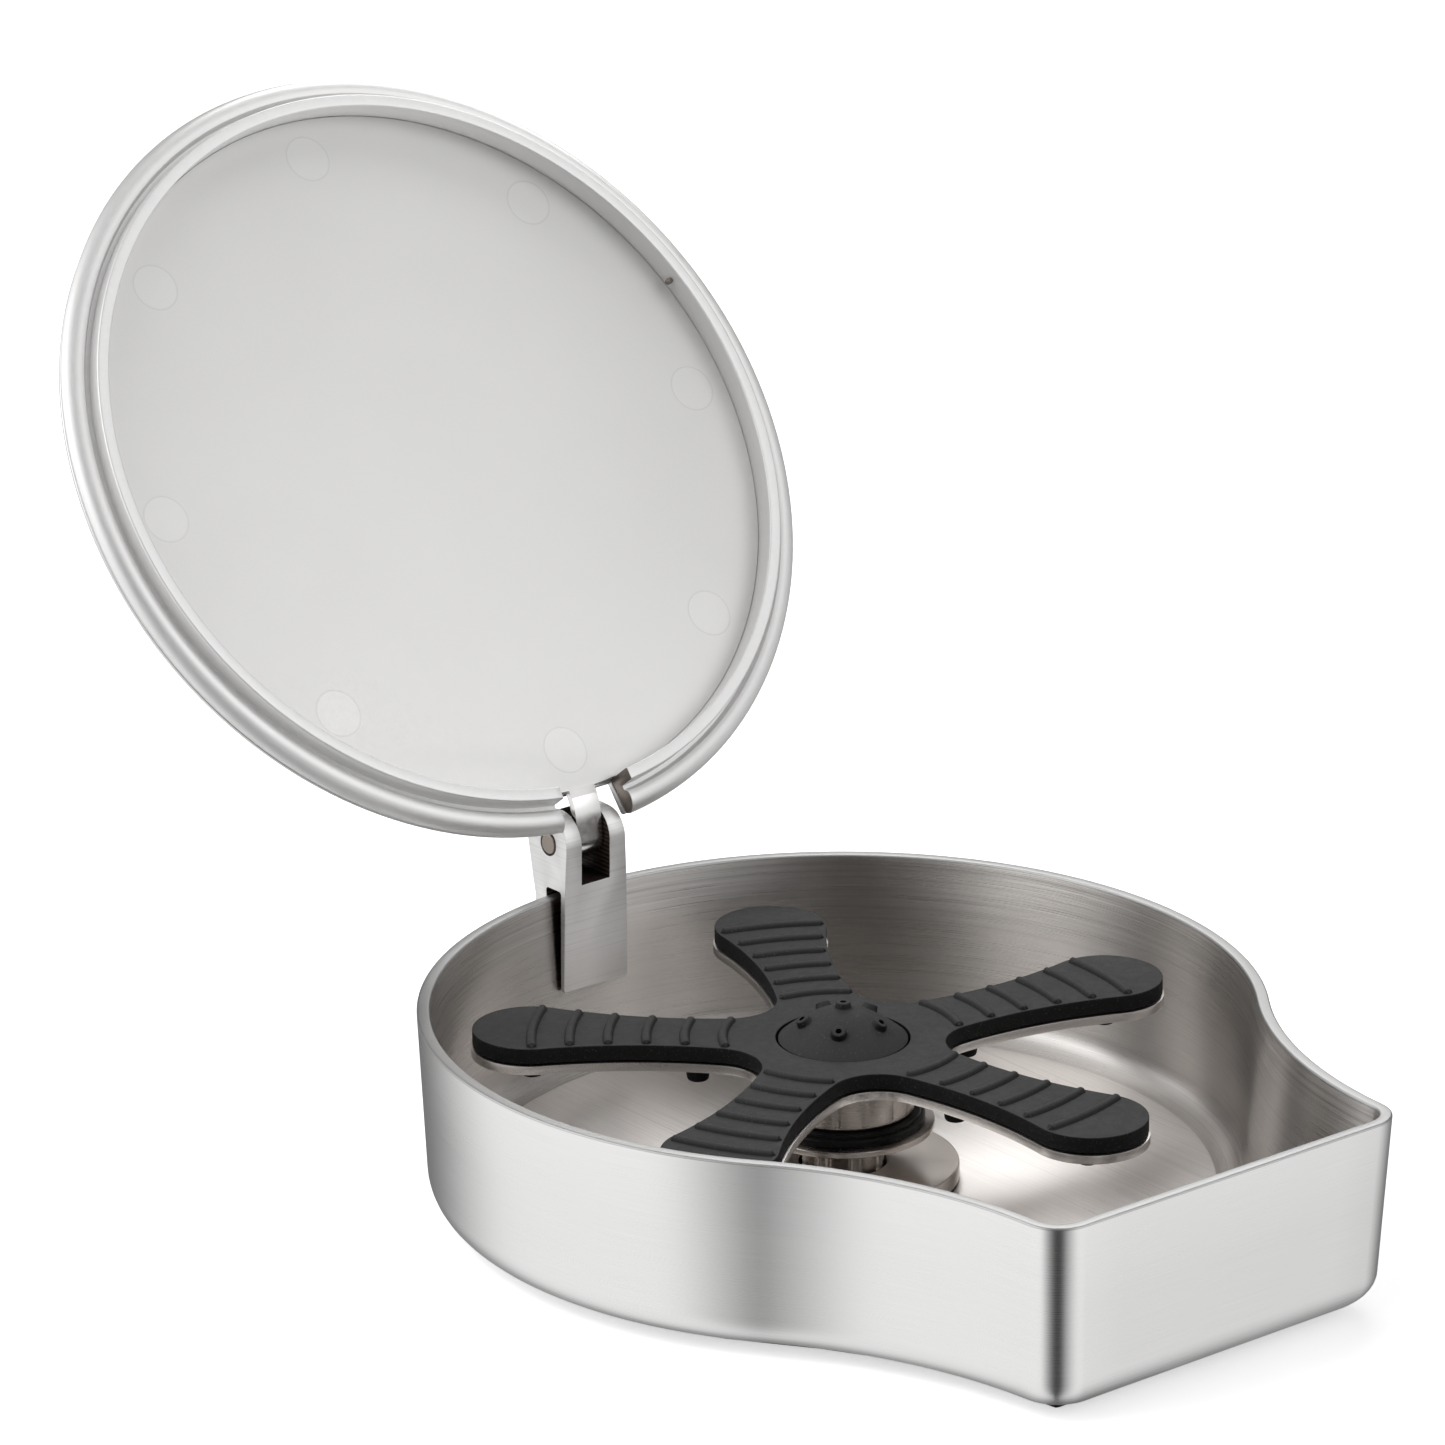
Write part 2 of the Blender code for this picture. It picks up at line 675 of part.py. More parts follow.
def build_drain():
    centre = (0.0, DRAIN_Y)
    low, high = DRAIN_FLANGE_Z
    profile = [
        (DRAIN_RECESS_RADIUS, high),
        (DRAIN_FLANGE_RADIUS - FLANGE_CHAMFER, high),
        (DRAIN_FLANGE_RADIUS, high - FLANGE_CHAMFER),
        (DRAIN_FLANGE_RADIUS, low),
        (DRAIN_TAIL_RADIUS, low),
        (DRAIN_TAIL_RADIUS, SHANK_END),
        (DRAIN_BORE, SHANK_END),
        (DRAIN_BORE, DRAIN_RECESS_FLOOR),
        (DRAIN_RECESS_RADIUS, DRAIN_RECESS_FLOOR),
    ]
    finish(turned("drain_body", profile, 28, centre), NICKEL)
    gasket = ring("drain_gasket", *DRAIN_GASKET_RADII, FLOOR_Z + GAP, low - GAP, centre=centre)
    finish(gasket, RUBBER)
    build_strainer(centre)
    washer_top = -WORKTOP - GAP
    washer_end = washer_top - DRAIN_WASHER[1]
    nut_top = washer_end - GAP
    nut_end = nut_top - DRAIN_NUT_HEIGHT
    bore = DRAIN_TAIL_RADIUS + 0.4
    finish(ring("drain_washer", bore, DRAIN_WASHER[0], washer_end, washer_top, centre=centre), RUBBER)
    nut_bore = DRAIN_TAIL_RADIUS + GAP
    finish(nut("drain_nut", DRAIN_NUT_FLATS, nut_bore, nut_end, nut_top, centre, 28), NICKEL)


def build_strainer(centre):
    holes = [circle(centre, STRAINER_HOLE, 8)]
    for count, radius in STRAINER_RINGS:
        for i in range(count):
            x, y = turn_point((radius, 0), 2 * math.pi * i / count)
            holes.append(circle((x, y + DRAIN_Y), STRAINER_HOLE, 8))
    outline = circle(centre, DRAIN_RECESS_RADIUS - 0.4, 32)
    finish(slab("drain_strainer", [outline] + holes, DRAIN_RECESS_FLOOR + GAP, STRAINER_TOP), STEEL)


# ---- Star ----


def arm_outline():
    """One arm along +X: half a crotch, a hollow flank, the round tip, and the same again mirrored."""
    flank = flank_radius()
    flank_centre = (WAIST_X, WAIST_HALF_WIDTH + flank)
    bisector = math.pi / ARMS
    crotch_centre = turn_point((CROTCH_CENTRE, 0), bisector)
    tip_angle = math.atan2(flank_centre[1], WAIST_X - TIP_CENTRE)
    crotch_angle = math.atan2(crotch_centre[1] - flank_centre[1], crotch_centre[0] - WAIST_X)
    upper = arc((TIP_CENTRE, 0), TIP_RADIUS, 0, tip_angle, TIP_STEPS // 2)
    upper += arc(flank_centre, flank, tip_angle - math.pi, crotch_angle, FLANK_STEPS, (False, True))
    upper += arc(crotch_centre, CROTCH_RADIUS, crotch_angle, bisector - math.pi, CROTCH_STEPS, (False, True))
    lower = [(x, -y) for x, y in reversed(upper[1:-1])]
    return lower + upper


def flank_radius():
    """Radius of the hollow flank that passes the waist and touches the tip's circle."""
    reach = TIP_CENTRE - WAIST_X
    return (reach**2 + WAIST_HALF_WIDTH**2 - TIP_RADIUS**2) / (2 * (TIP_RADIUS - WAIST_HALF_WIDTH))


def arm_angles():
    return [FIRST_ARM + 2 * math.pi * i / ARMS for i in range(ARMS)]


def star_outline():
    return [turn_point(point, angle) for angle in arm_angles() for point in arm_outline()]


def plug_places():
    return [turn_point((radius, 0), angle) for angle in arm_angles() for radius in PLUG_RADII]


def build_star_plate():
    holes = [circle((0, 0), PLATE_HOLE, 32)]
    holes += [circle(place_xy, PLUG_STEM + GAP, 8) for place_xy in plug_places()]
    finish(slab("star_plate", [star_outline()] + holes, *PLATE_Z), STEEL)


def build_star_pad():
    pad = slab("star_pad", [star_outline(), circle((0, 0), PAD_HOLE, 32)], *PAD_Z)
    plugs = []
    for i, (x, y) in enumerate(plug_places()):
        profile = [
            (0, PAD_Z[0] + 0.5),
            (PLUG_STEM, PAD_Z[0] + 0.5),
            (PLUG_STEM, PLUG_Z[1]),
            (PLUG_HEAD, PLUG_Z[1]),
            (PLUG_TIP, PLUG_Z[0]),
            (0, PLUG_Z[0]),
        ]
        plugs.append(turned(f"plug_{i}", profile, 8, (x, y)))
    combine(pad, plugs, "UNION")
    finish(pad, RUBBER)


def build_star_hub():
    profile = [
        (HUB_BORE, HUB_Z[0]),
        (HUB_RADIUS - 0.5, HUB_Z[0]),
        (HUB_RADIUS, HUB_Z[0] + 0.5),
        (HUB_RADIUS, HUB_Z[1]),
        (HUB_SPIGOT_RADIUS, HUB_Z[1]),
        (HUB_SPIGOT_RADIUS, HUB_SPIGOT_TOP),
        (HUB_CUP_RADIUS, HUB_SPIGOT_TOP),
        (HUB_CUP_RADIUS, HUB_WEB_TOP),
        (HUB_BORE, HUB_WEB_TOP),
    ]
    finish(turned("star_hub", profile, 32), NICKEL)


def cap_profile(radius, base, top, steps):
    """Points of a spherical cap, from its edge up to its top."""
    rise = top - base
    sphere = (radius**2 + rise**2) / (2 * rise)
    start = math.asin(radius / sphere)
    return [
        (sphere * math.sin(start * (1 - i / steps)), top - sphere * (1 - math.cos(start * (1 - i / steps))))
        for i in range(steps + 1)
    ]


def build_spray_dome():
    outer = cap_profile(DOME_RADIUS, DOME_SHOULDER, DOME_TOP, 5)
    inner = cap_profile(SKIRT_RADII[0], DOME_SHOULDER - 0.6, DOME_TOP - DOME_WALL, 3)
    outer[-1] = (0, DOME_TOP)
    inner[-1] = (0, DOME_TOP - DOME_WALL)
    profile = [(SKIRT_RADII[0], SKIRT_END), (SKIRT_RADII[1], SKIRT_END), (SKIRT_RADII[1], PAD_Z[0])]
    profile += [(DOME_RADIUS, PAD_Z[0])] + outer + inner[::-1]
    dome = turned("spray_dome", profile, 28)
    nozzles = []
    holes = []
    sphere_centre = Vector((0, 0, outer_sphere_centre()))
    tops = [Vector((0, 0, DOME_TOP))]
    for i in range(5):
        x, y = turn_point((NOZZLE_RING, 0), NOZZLE_TURN + 2 * math.pi * i / 5)
        height = math.sqrt((DOME_TOP - sphere_centre.z) ** 2 - NOZZLE_RING**2)
        tops.append(sphere_centre + Vector((x, y, height)))
    for i, top in enumerate(tops):
        outwards = (top - sphere_centre).normalized()
        face = top + outwards * NOZZLE_RISE
        nozzles.append(rod(f"nozzle_{i}", NOZZLE_RADIUS, top - outwards, face, 8, NOZZLE_RADIUS * 0.8))
        holes.append(rod(f"nozzle_hole_{i}", NOZZLE_HOLE, top - outwards * 4, face + outwards, 6))
    combine(dome, nozzles, "UNION")
    cut(dome, holes)
    finish(dome, RUBBER)


def outer_sphere_centre():
    rise = DOME_TOP - DOME_SHOULDER
    return DOME_TOP - (DOME_RADIUS**2 + rise**2) / (2 * rise)


# ---- Hinge ----


def slot_side(height, offset):
    """Y of a slot side that follows the wall's draft."""
    return offset - wall_inset(height)


def bracket_outline():
    """Side view (y, z) of the bracket, an upside-down U over the basin's wall with a round top."""
    slot_back = BOWL_RADIUS + GAP
    corner = 0.5
    ear_centre = (BRACKET_FRONT + EAR_RADIUS, HINGE_Z)
    outline = [
        (BRACKET_FRONT, BRACKET_FOOT_Z + 0.6),
        (BRACKET_FRONT + 0.6, BRACKET_FOOT_Z),
        (slot_side(BRACKET_FOOT_Z, SLOT_FRONT), BRACKET_FOOT_Z),
        (SLOT_FRONT, SLOT_TOP - corner),
        (SLOT_FRONT + corner, SLOT_TOP),
        (slot_back - corner, SLOT_TOP),
        (slot_back, SLOT_TOP - corner),
        (slot_side(BRACKET_FOOT_Z, slot_back), BRACKET_FOOT_Z),
        (BRACKET_BACK - 0.6, BRACKET_FOOT_Z),
        (BRACKET_BACK, BRACKET_FOOT_Z + 0.6),
        (BRACKET_BACK, BRACKET_BACK_TOP_Z),
    ]
    return outline + arc(ear_centre, EAR_RADIUS, 0, math.pi, 14)


def build_hinge_bracket():
    bracket = side_slab("hinge_bracket", bracket_outline(), BRACKET_HALF_WIDTH)
    pocket = block(
        "pocket",
        (-POCKET_HALF_WIDTH, BRACKET_FRONT - 5, POCKET_FLOOR),
        (POCKET_HALF_WIDTH, POCKET_BACK, HINGE_Z + 10),
    )
    reach = BRACKET_HALF_WIDTH + 1
    cutters = [pocket, rod("pin_hole", PIN_RADIUS + GAP, (-reach, HINGE_Y, HINGE_Z), (reach, HINGE_Y, HINGE_Z))]
    for name, height in SCREW_HEIGHTS.items():
        start = (0, BOWL_RADIUS - 1.5, height)
        cutters.append(rod(name + "_hole", SCREW_RADIUS + GAP, start, (0, BRACKET_BACK + 1, height)))
    cut(bracket, cutters)
    finish(bracket, STEEL)


def build_hinge_pin():
    half = BRACKET_HALF_WIDTH - 0.1
    pin = rod("hinge_pin", PIN_RADIUS, (-half, HINGE_Y, HINGE_Z), (half, HINGE_Y, HINGE_Z), 20)
    finish(pin, STEEL)


def build_clamp_screws():
    for name, height in SCREW_HEIGHTS.items():
        tip = slot_side(height, BOWL_RADIUS + GAP)
        back = BRACKET_BACK - 0.2
        screw = rod(name, SCREW_RADIUS, (0, tip, height), (0, back, height))
        cut(screw, [rod("socket", SCREW_SOCKET, (0, back - 1.4, height), (0, back + 1, height), 6)])
        finish(screw, STEEL)


# ---- Lid ----


def lid_frame():
    """The lid's empty on the hinge axis, turned to the open position."""
    hinge = bpy.data.objects.new("lid_hinge_axis", None)
    PARTS.objects.link(hinge)
    hinge.location = (0, HINGE_Y * MM, HINGE_Z * MM)
    hinge.rotation_euler = (-LID_OPENING, 0, 0)
    return hinge


def seat_in_lid(item, hinge):
    """Hang a piece that was modelled closed, in the basin's frame, on the lid's empty."""
    item.data.transform(Matrix.Translation((0, -HINGE_Y * MM, -HINGE_Z * MM)))
    item.parent = hinge
    return item


def notch(name, floor, low, high):
    reach = LID_RADIUS + 5
    return block(name, (-NOTCH_HALF_WIDTH, floor, low), (NOTCH_HALF_WIDTH, reach, high))


def build_lid_ring(hinge):
    top = COVER_Z[0] - GAP
    profile = [
        (LIP_RADII[0], LIP_END + 0.4),
        (LIP_RADII[0] + 0.4, LIP_END),
        (LIP_RADII[1] - 0.4, LIP_END),
        (LIP_RADII[1], LIP_END + 0.4),
        (LIP_RADII[1], LID_REST_Z),
        (LID_RADIUS - 1.4, LID_REST_Z),
        (LID_RADIUS - 0.5, LID_REST_Z + 0.5),
        (LID_RADIUS, LID_WIDEST_Z),
        (LID_RADIUS - 0.3, top - 0.3),
        (LID_RADIUS - 0.9, top),
        (LIP_RADII[0], top),
    ]
    piece = turned("lid_ring", profile, LID_STEPS)
    cut(piece, [notch("ring_notch", LIP_RADII[0] - 3, LIP_END - 2, COVER_Z[1] + 2)])
    finish(seat_in_lid(piece, hinge), STEEL)


def build_lid_cover(hinge):
    low, high = COVER_Z
    profile = [
        (0, low),
        (COVER_RADIUS, low),
        (COVER_RADIUS - 0.1, low + 0.6),
        (COVER_RADIUS - 0.5, high - 0.2),
        (COVER_RADIUS - 1.0, high),
        (0, high),
    ]
    piece = turned("lid_cover", profile, LID_STEPS)
    cut(piece, [notch("cover_notch", NOTCH_FLOOR, low - 2, high + 2)])
    finish(seat_in_lid(piece, hinge), STEEL)


def strap_path():
    """Middle line (y, z) of the strap: out of the panel, up to the pin, round it and up into the stop tail."""
    panel_mid = (PANEL_Z[0] + PANEL_Z[1]) / 2
    start = Vector((PANEL_RADIUS - 4, panel_mid))
    knuckle = arc((HINGE_Y, HINGE_Z), KNUCKLE_RADIUS, KNUCKLE_START, tail_angle(), 16)
    bend = Vector((PANEL_RADIUS - 0.5, panel_mid))
    first = Vector(knuckle[0])
    heading = Vector((-math.sin(KNUCKLE_START), math.cos(KNUCKLE_START)))
    reach = (first - bend).length * 0.42
    points = [start]
    for i in range(6):
        t = i / 6
        a = bend * (1 - t) ** 3
        b = (bend + Vector((reach, 0))) * 3 * t * (1 - t) ** 2
        c = (first - heading * reach) * 3 * t**2 * (1 - t)
        points.append(a + b + c + first * t**3)
    points += [Vector(point) for point in knuckle]
    tail = Vector((-math.sin(tail_angle()), math.cos(tail_angle())))
    points.append(points[-1] + tail * STOP_TAIL)
    return points


def tail_angle():
    """Where the knuckle ends, so that its tail lies flat on the pocket's back wall when the lid is open."""
    return LID_OPENING


def offset_path(path, distance):
    moved = []
    for i, point in enumerate(path):
        before = path[max(i - 1, 0)]
        after = path[min(i + 1, len(path) - 1)]
        along = (after - before).normalized()
        moved.append(point + Vector((-along.y, along.x)) * distance)
    return moved


def build_lid_panel(hinge):
    panel = slab("lid_panel", [circle((0, 0), PANEL_RADIUS, LID_STEPS)], *PANEL_Z)
    path = strap_path()
    half = STRAP_THICKNESS / 2
    outline = offset_path(path, -half) + offset_path(path, half)[::-1]
    strap = side_slab("strap", [tuple(point) for point in outline], STRAP_HALF_WIDTH)
    combine(panel, [strap], "UNION")
    finish(seat_in_lid(panel, hinge), STEEL)


def main():
    build_basin()
    build_valve_body()
    build_plunger()
    build_plunger_seals()
    build_hub_clip()
    build_spring()
    build_spring_seat()
    build_under_counter_fixings()
    build_drain()
    build_star_plate()
    build_star_pad()
    build_star_hub()
    build_spray_dome()
    build_hinge_bracket()
    build_hinge_pin()
    build_clamp_screws()
    hinge = lid_frame()
    build_lid_ring(hinge)
    build_lid_cover(hinge)
    build_lid_panel(hinge)


clear_scene()
PARTS = collection("glass_rinser")
CUTTERS = collection("cutters")
STEEL = material("brushed_steel", (0.62, 0.61, 0.60), 0.32, 1.0)
NICKEL = material("nickel_brass", (0.60, 0.56, 0.52), 0.22, 1.0)
RUBBER = material("black_rubber", (0.035, 0.035, 0.037), 0.6, 0.0)
main()
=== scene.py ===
"""Looks of a countertop glass rinser: brushed basin, five-armed rubber-topped star on a push valve, and a
round hinged lid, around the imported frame. Lengths are in millimetres until a mesh is placed."""

import json
import math

import bmesh
import bpy
from mathutils import Matrix, Vector


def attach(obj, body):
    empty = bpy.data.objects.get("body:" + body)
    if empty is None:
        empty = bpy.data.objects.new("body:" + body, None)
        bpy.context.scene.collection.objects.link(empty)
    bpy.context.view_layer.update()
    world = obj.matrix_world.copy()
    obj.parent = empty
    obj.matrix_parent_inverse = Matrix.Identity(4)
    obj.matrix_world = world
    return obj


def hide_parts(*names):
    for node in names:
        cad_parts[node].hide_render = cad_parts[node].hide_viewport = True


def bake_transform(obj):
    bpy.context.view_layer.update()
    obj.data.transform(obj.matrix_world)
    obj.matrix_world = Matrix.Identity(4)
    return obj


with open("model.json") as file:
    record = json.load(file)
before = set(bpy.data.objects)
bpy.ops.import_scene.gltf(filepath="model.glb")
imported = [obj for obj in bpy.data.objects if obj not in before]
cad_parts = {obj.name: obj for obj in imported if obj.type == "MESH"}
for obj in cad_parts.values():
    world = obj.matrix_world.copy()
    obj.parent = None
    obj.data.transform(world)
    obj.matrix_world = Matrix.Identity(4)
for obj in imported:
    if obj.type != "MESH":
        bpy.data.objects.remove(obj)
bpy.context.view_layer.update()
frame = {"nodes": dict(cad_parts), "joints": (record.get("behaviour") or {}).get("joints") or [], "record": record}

MM = 0.001
SHARP = math.radians(35)

# Basin
BOWL_RADIUS = 70.0
PROW_REACH = 94.5
PROW_CORNER_X = 31.1
PROW_CORNER_RADIUS = 6.5
FLARE_RADIUS = 78.0
SHEET = 2.1
BASIN_UNDERSIDE = 1.0
RIM_Z = 34.0
RIM_ROUNDING = 0.35
DRAFT = math.tan(math.radians(2.75))
FOOT_RADIUS = 6.0
FLOOR_FILLET = 5.0
FLOOR_Z = BASIN_UNDERSIDE + SHEET
DRAIN_Y = -64.0
STRAINER_HOLE = 1.4
WORN_FROM_Z = 24.0

# Star
ARMS = 5
FIRST_ARM = math.radians(63.6)
TIP_CENTRE = 51.8
TIP_RADIUS = 9.8
WAIST_X = 28.0
WAIST_HALF_WIDTH = 6.4
CROTCH_CENTRE = 25.1
CROTCH_RADIUS = 7.9
PLATE_Z = (23.3, 24.8)
PAD_Z = (25.1, 27.8)
PAD_INSET = 0.25
RIB_RADII = [19.8 + 6.3 * i for i in range(6)]
RIB_HALF_WIDTH = 0.82
RIB_RISE = 0.75
PLUG_RADII = (24.0, 51.5)

# Dome
DOME_RADIUS = 10.7
DOME_SHOULDER = 27.6
DOME_TOP = 33.0
RING_NOZZLES = 5
NOZZLE_RING = 6.4
NOZZLE_TURN = math.radians(-136.3)

# Hub, stem and return spring
HUB_GROOVES = 16
STEM_FLUTES = 8
SPRING_WIRE = 0.9
SPRING_RADIUS = 5.2
SPRING_TURNS = 7
SPRING_STEPS = 24
SPRING_Z = (-37.6, -18.2)
SPRING_GAP = 0.02

# Hinge and lid, the lid as it lies when closed
LID_JOINT = next(joint for joint in frame["joints"] if joint["name"] == "lid_hinge")
HINGE = Vector(LID_JOINT["pos_m"]) / MM
LID_OPENING = math.radians(LID_JOINT["range_deg"][1])
BRACKET_HALF_WIDTH = 6.65
BRACKET_FOOT = 16.9
SLOT_Y = (66.25, 70.3)
SLOT_TOP = 35.3
FORK_HALF_WIDTH = 3.0
FORK_BACK = 74.0
FORK_FLOOR = 36.1
SCREW_HEIGHTS = (29.0, 22.0)
LID_RADIUS = 70.7
PANEL_RADIUS = 63.5
PANEL_Z = (36.4, 37.6)
COVER_Z = (37.9, 39.1)
NOTCH_HALF_WIDTH = 7.3
WELD_SPOTS = 8
WELD_SPOT_CIRCLE = 56.6
WELD_SPOT_RADII = (3.9, 4.15, 4.35)
KNUCKLE_RADIUS = 2.85
KNUCKLE_START = math.radians(-58)

# Camera: azimuth, elevation and roll in degrees, and its shift from the rim's centre in metres
CAMERA_ANGLES = (-39.3, 19.77, -0.27)
CAMERA_SHIFT = (-0.0198, 0.0458, 1.3132)
CAMERA_LENS = 199.3


# ---- Outlines ----


def arc(centre, radius, start, end, steps, ends=(True, True)):
    """Points on an arc. Either end point can be left out."""
    first = 0 if ends[0] else 1
    last = steps if ends[1] else steps - 1
    turn = (end - start) / steps
    return [
        (
            centre[0] + radius * math.cos(start + turn * i),
            centre[1] + radius * math.sin(start + turn * i),
        )
        for i in range(first, last + 1)
    ]


def circle(centre, radius, steps):
    return arc(centre, radius, 0, 2 * math.pi, steps, (True, False))


def turn_point(point, angle):
    return (
        point[0] * math.cos(angle) - point[1] * math.sin(angle),
        point[0] * math.sin(angle) + point[1] * math.cos(angle),
    )


def rounded(corners, steps=4):
    """A closed outline from (x, y) and (x, y, rounding) corners."""
    outline = []
    for i, corner in enumerate(corners):
        point = Vector(corner[:2])
        if len(corner) == 2:
            outline.append(tuple(point))
            continue
        before = (Vector(corners[i - 1][:2]) - point).normalized()
        after = (Vector(corners[(i + 1) % len(corners)][:2]) - point).normalized()
        half = before.angle(after) / 2
        centre = point + (before + after).normalized() * corner[2] / math.sin(half)
        start = point + before * corner[2] / math.tan(half) - centre
        end = point + after * corner[2] / math.tan(half) - centre
        first = math.atan2(start.y, start.x)
        swing = (math.atan2(end.y, end.x) - first + math.pi) % (2 * math.pi) - math.pi
        outline += arc(centre, corner[2], first, first + swing, steps)
    return outline


# ---- Meshes ----


def add_object(name, mesh):
    """Link a mesh made in millimetres as an object in metres."""
    mesh.transform(Matrix.Scale(MM, 4))
    item = bpy.data.objects.new(name, mesh)
    bpy.context.scene.collection.objects.link(item)
    return item


def from_bmesh(name, shape):
    mesh = bpy.data.meshes.new(name)
    shape.to_mesh(mesh)
    shape.free()
    return add_object(name, mesh)


def turned_shape(profile, steps):
    """A bmesh turned about Z from a (radius, height) outline, closed or from axis to axis."""
    shape = bmesh.new()
    corners = [shape.verts.new((radius, 0, height)) for radius, height in profile]
    edges = [shape.edges.new(pair) for pair in zip(corners, corners[1:])]
    if profile[0][0] > 0 or profile[-1][0] > 0:
        edges.append(shape.edges.new((corners[-1], corners[0])))
    bmesh.ops.spin(
        shape,
        geom=corners + edges,
        cent=(0, 0, 0),
        axis=(0, 0, 1),
        angle=2 * math.pi,
        steps=steps,
        use_merge=True,
    )
    bmesh.ops.remove_doubles(shape, verts=shape.verts, dist=0.0005)
    bmesh.ops.recalc_face_normals(shape, faces=shape.faces)
    return shape


def turned(name, profile, steps=96, centre=(0.0, 0.0)):
    shape = turned_shape(profile, steps)
    bmesh.ops.translate(shape, vec=(*centre, 0), verts=shape.verts)
    return from_bmesh(name, shape)


def slab(name, loops, low, high):
    """A flat piece between two heights: an outline and the holes in it."""
    curve = bpy.data.curves.new(name, "CURVE")
    curve.dimensions = "2D"
    curve.fill_mode = "BOTH"
    curve.extrude = (high - low) / 2
    for loop in loops:
        spline = curve.splines.new("POLY")
        spline.points.add(len(loop) - 1)
        for point, (x, y) in zip(spline.points, loop):
            point.co = (x, y, 0, 1)
        spline.use_cyclic_u = True
    item = bpy.data.objects.new(name, curve)
    bpy.context.scene.collection.objects.link(item)
    bpy.context.view_layer.update()
    mesh = bpy.data.meshes.new_from_object(item.evaluated_get(bpy.context.evaluated_depsgraph_get()))
    bpy.data.objects.remove(item)
    shape = bmesh.new()
    shape.from_mesh(mesh)
    bmesh.ops.remove_doubles(shape, verts=shape.verts, dist=0.003)
    flat = [edge for edge in shape.edges if len(edge.link_faces) == 2 and edge.calc_face_angle(0) < 0.001]
    bmesh.ops.dissolve_edges(shape, edges=flat, use_verts=False)
    bmesh.ops.recalc_face_normals(shape, faces=shape.faces)
    bmesh.ops.translate(shape, vec=(0, 0, (low + high) / 2), verts=shape.verts)
    return from_bmesh(name, shape)


def side_slab(name, outline, half_width):
    """A piece with a (y, z) side outline, twice half_width wide along X."""
    item = slab(name, [outline], -half_width, half_width)
    item.data.transform(Matrix(((0, 0, 1, 0), (1, 0, 0, 0), (0, 1, 0, 0), (0, 0, 0, 1))))
    return item


def rod(name, radius, start, end, steps=32):
    start, end = Vector(start), Vector(end)
    shape = bmesh.new()
    turn = (end - start).to_track_quat("Z", "X").to_matrix().to_4x4()
    bmesh.ops.create_cone(
        shape,
        cap_ends=True,
        segments=steps,
        radius1=radius,
        radius2=radius,
        depth=(end - start).length,
        matrix=Matrix.Translation((start + end) / 2) @ turn,
    )
    return from_bmesh(name, shape)


def block(name, low, high):
    low, high = Vector(low), Vector(high)
    shape = bmesh.new()
    bmesh.ops.create_cube(shape, size=1)
    bmesh.ops.scale(shape, vec=high - low, verts=shape.verts)
    bmesh.ops.translate(shape, vec=(low + high) / 2, verts=shape.verts)
    return from_bmesh(name, shape)


def apply_modifiers(item):
    bpy.context.view_layer.update()
    evaluated = item.evaluated_get(bpy.context.evaluated_depsgraph_get())
    item.data = bpy.data.meshes.new_from_object(evaluated)
    item.modifiers.clear()


def combine(item, others, operation):
    for other in others:
        boolean = item.modifiers.new(other.name, "BOOLEAN")
        boolean.operation = operation
        boolean.solver = "EXACT"
        boolean.object = other
    apply_modifiers(item)
    for other in others:
        bpy.data.objects.remove(other)


def soften(item, width, segments=3, angle=40):
    """Round every edge sharper than the angle."""
    bevel = item.modifiers.new("edges", "BEVEL")
    bevel.width = width * MM
    bevel.segments = segments
    bevel.limit_method = "ANGLE"
    bevel.angle_limit = math.radians(angle)
    bevel.use_clamp_overlap = True
    apply_modifiers(item)


def dress(item, body, material, slot, *nodes):
    """Shade a finished piece, ride it on its body and hide the CAD nodes it stands for."""
    if material is not None:
        item.data.materials.clear()
        item.data.materials.append(material)
    item.data.shade_smooth()
    item.data.set_sharp_from_angle(angle=SHARP)
    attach(item, body)
    if nodes:
        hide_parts(*nodes)
    return item


# ---- Materials ----


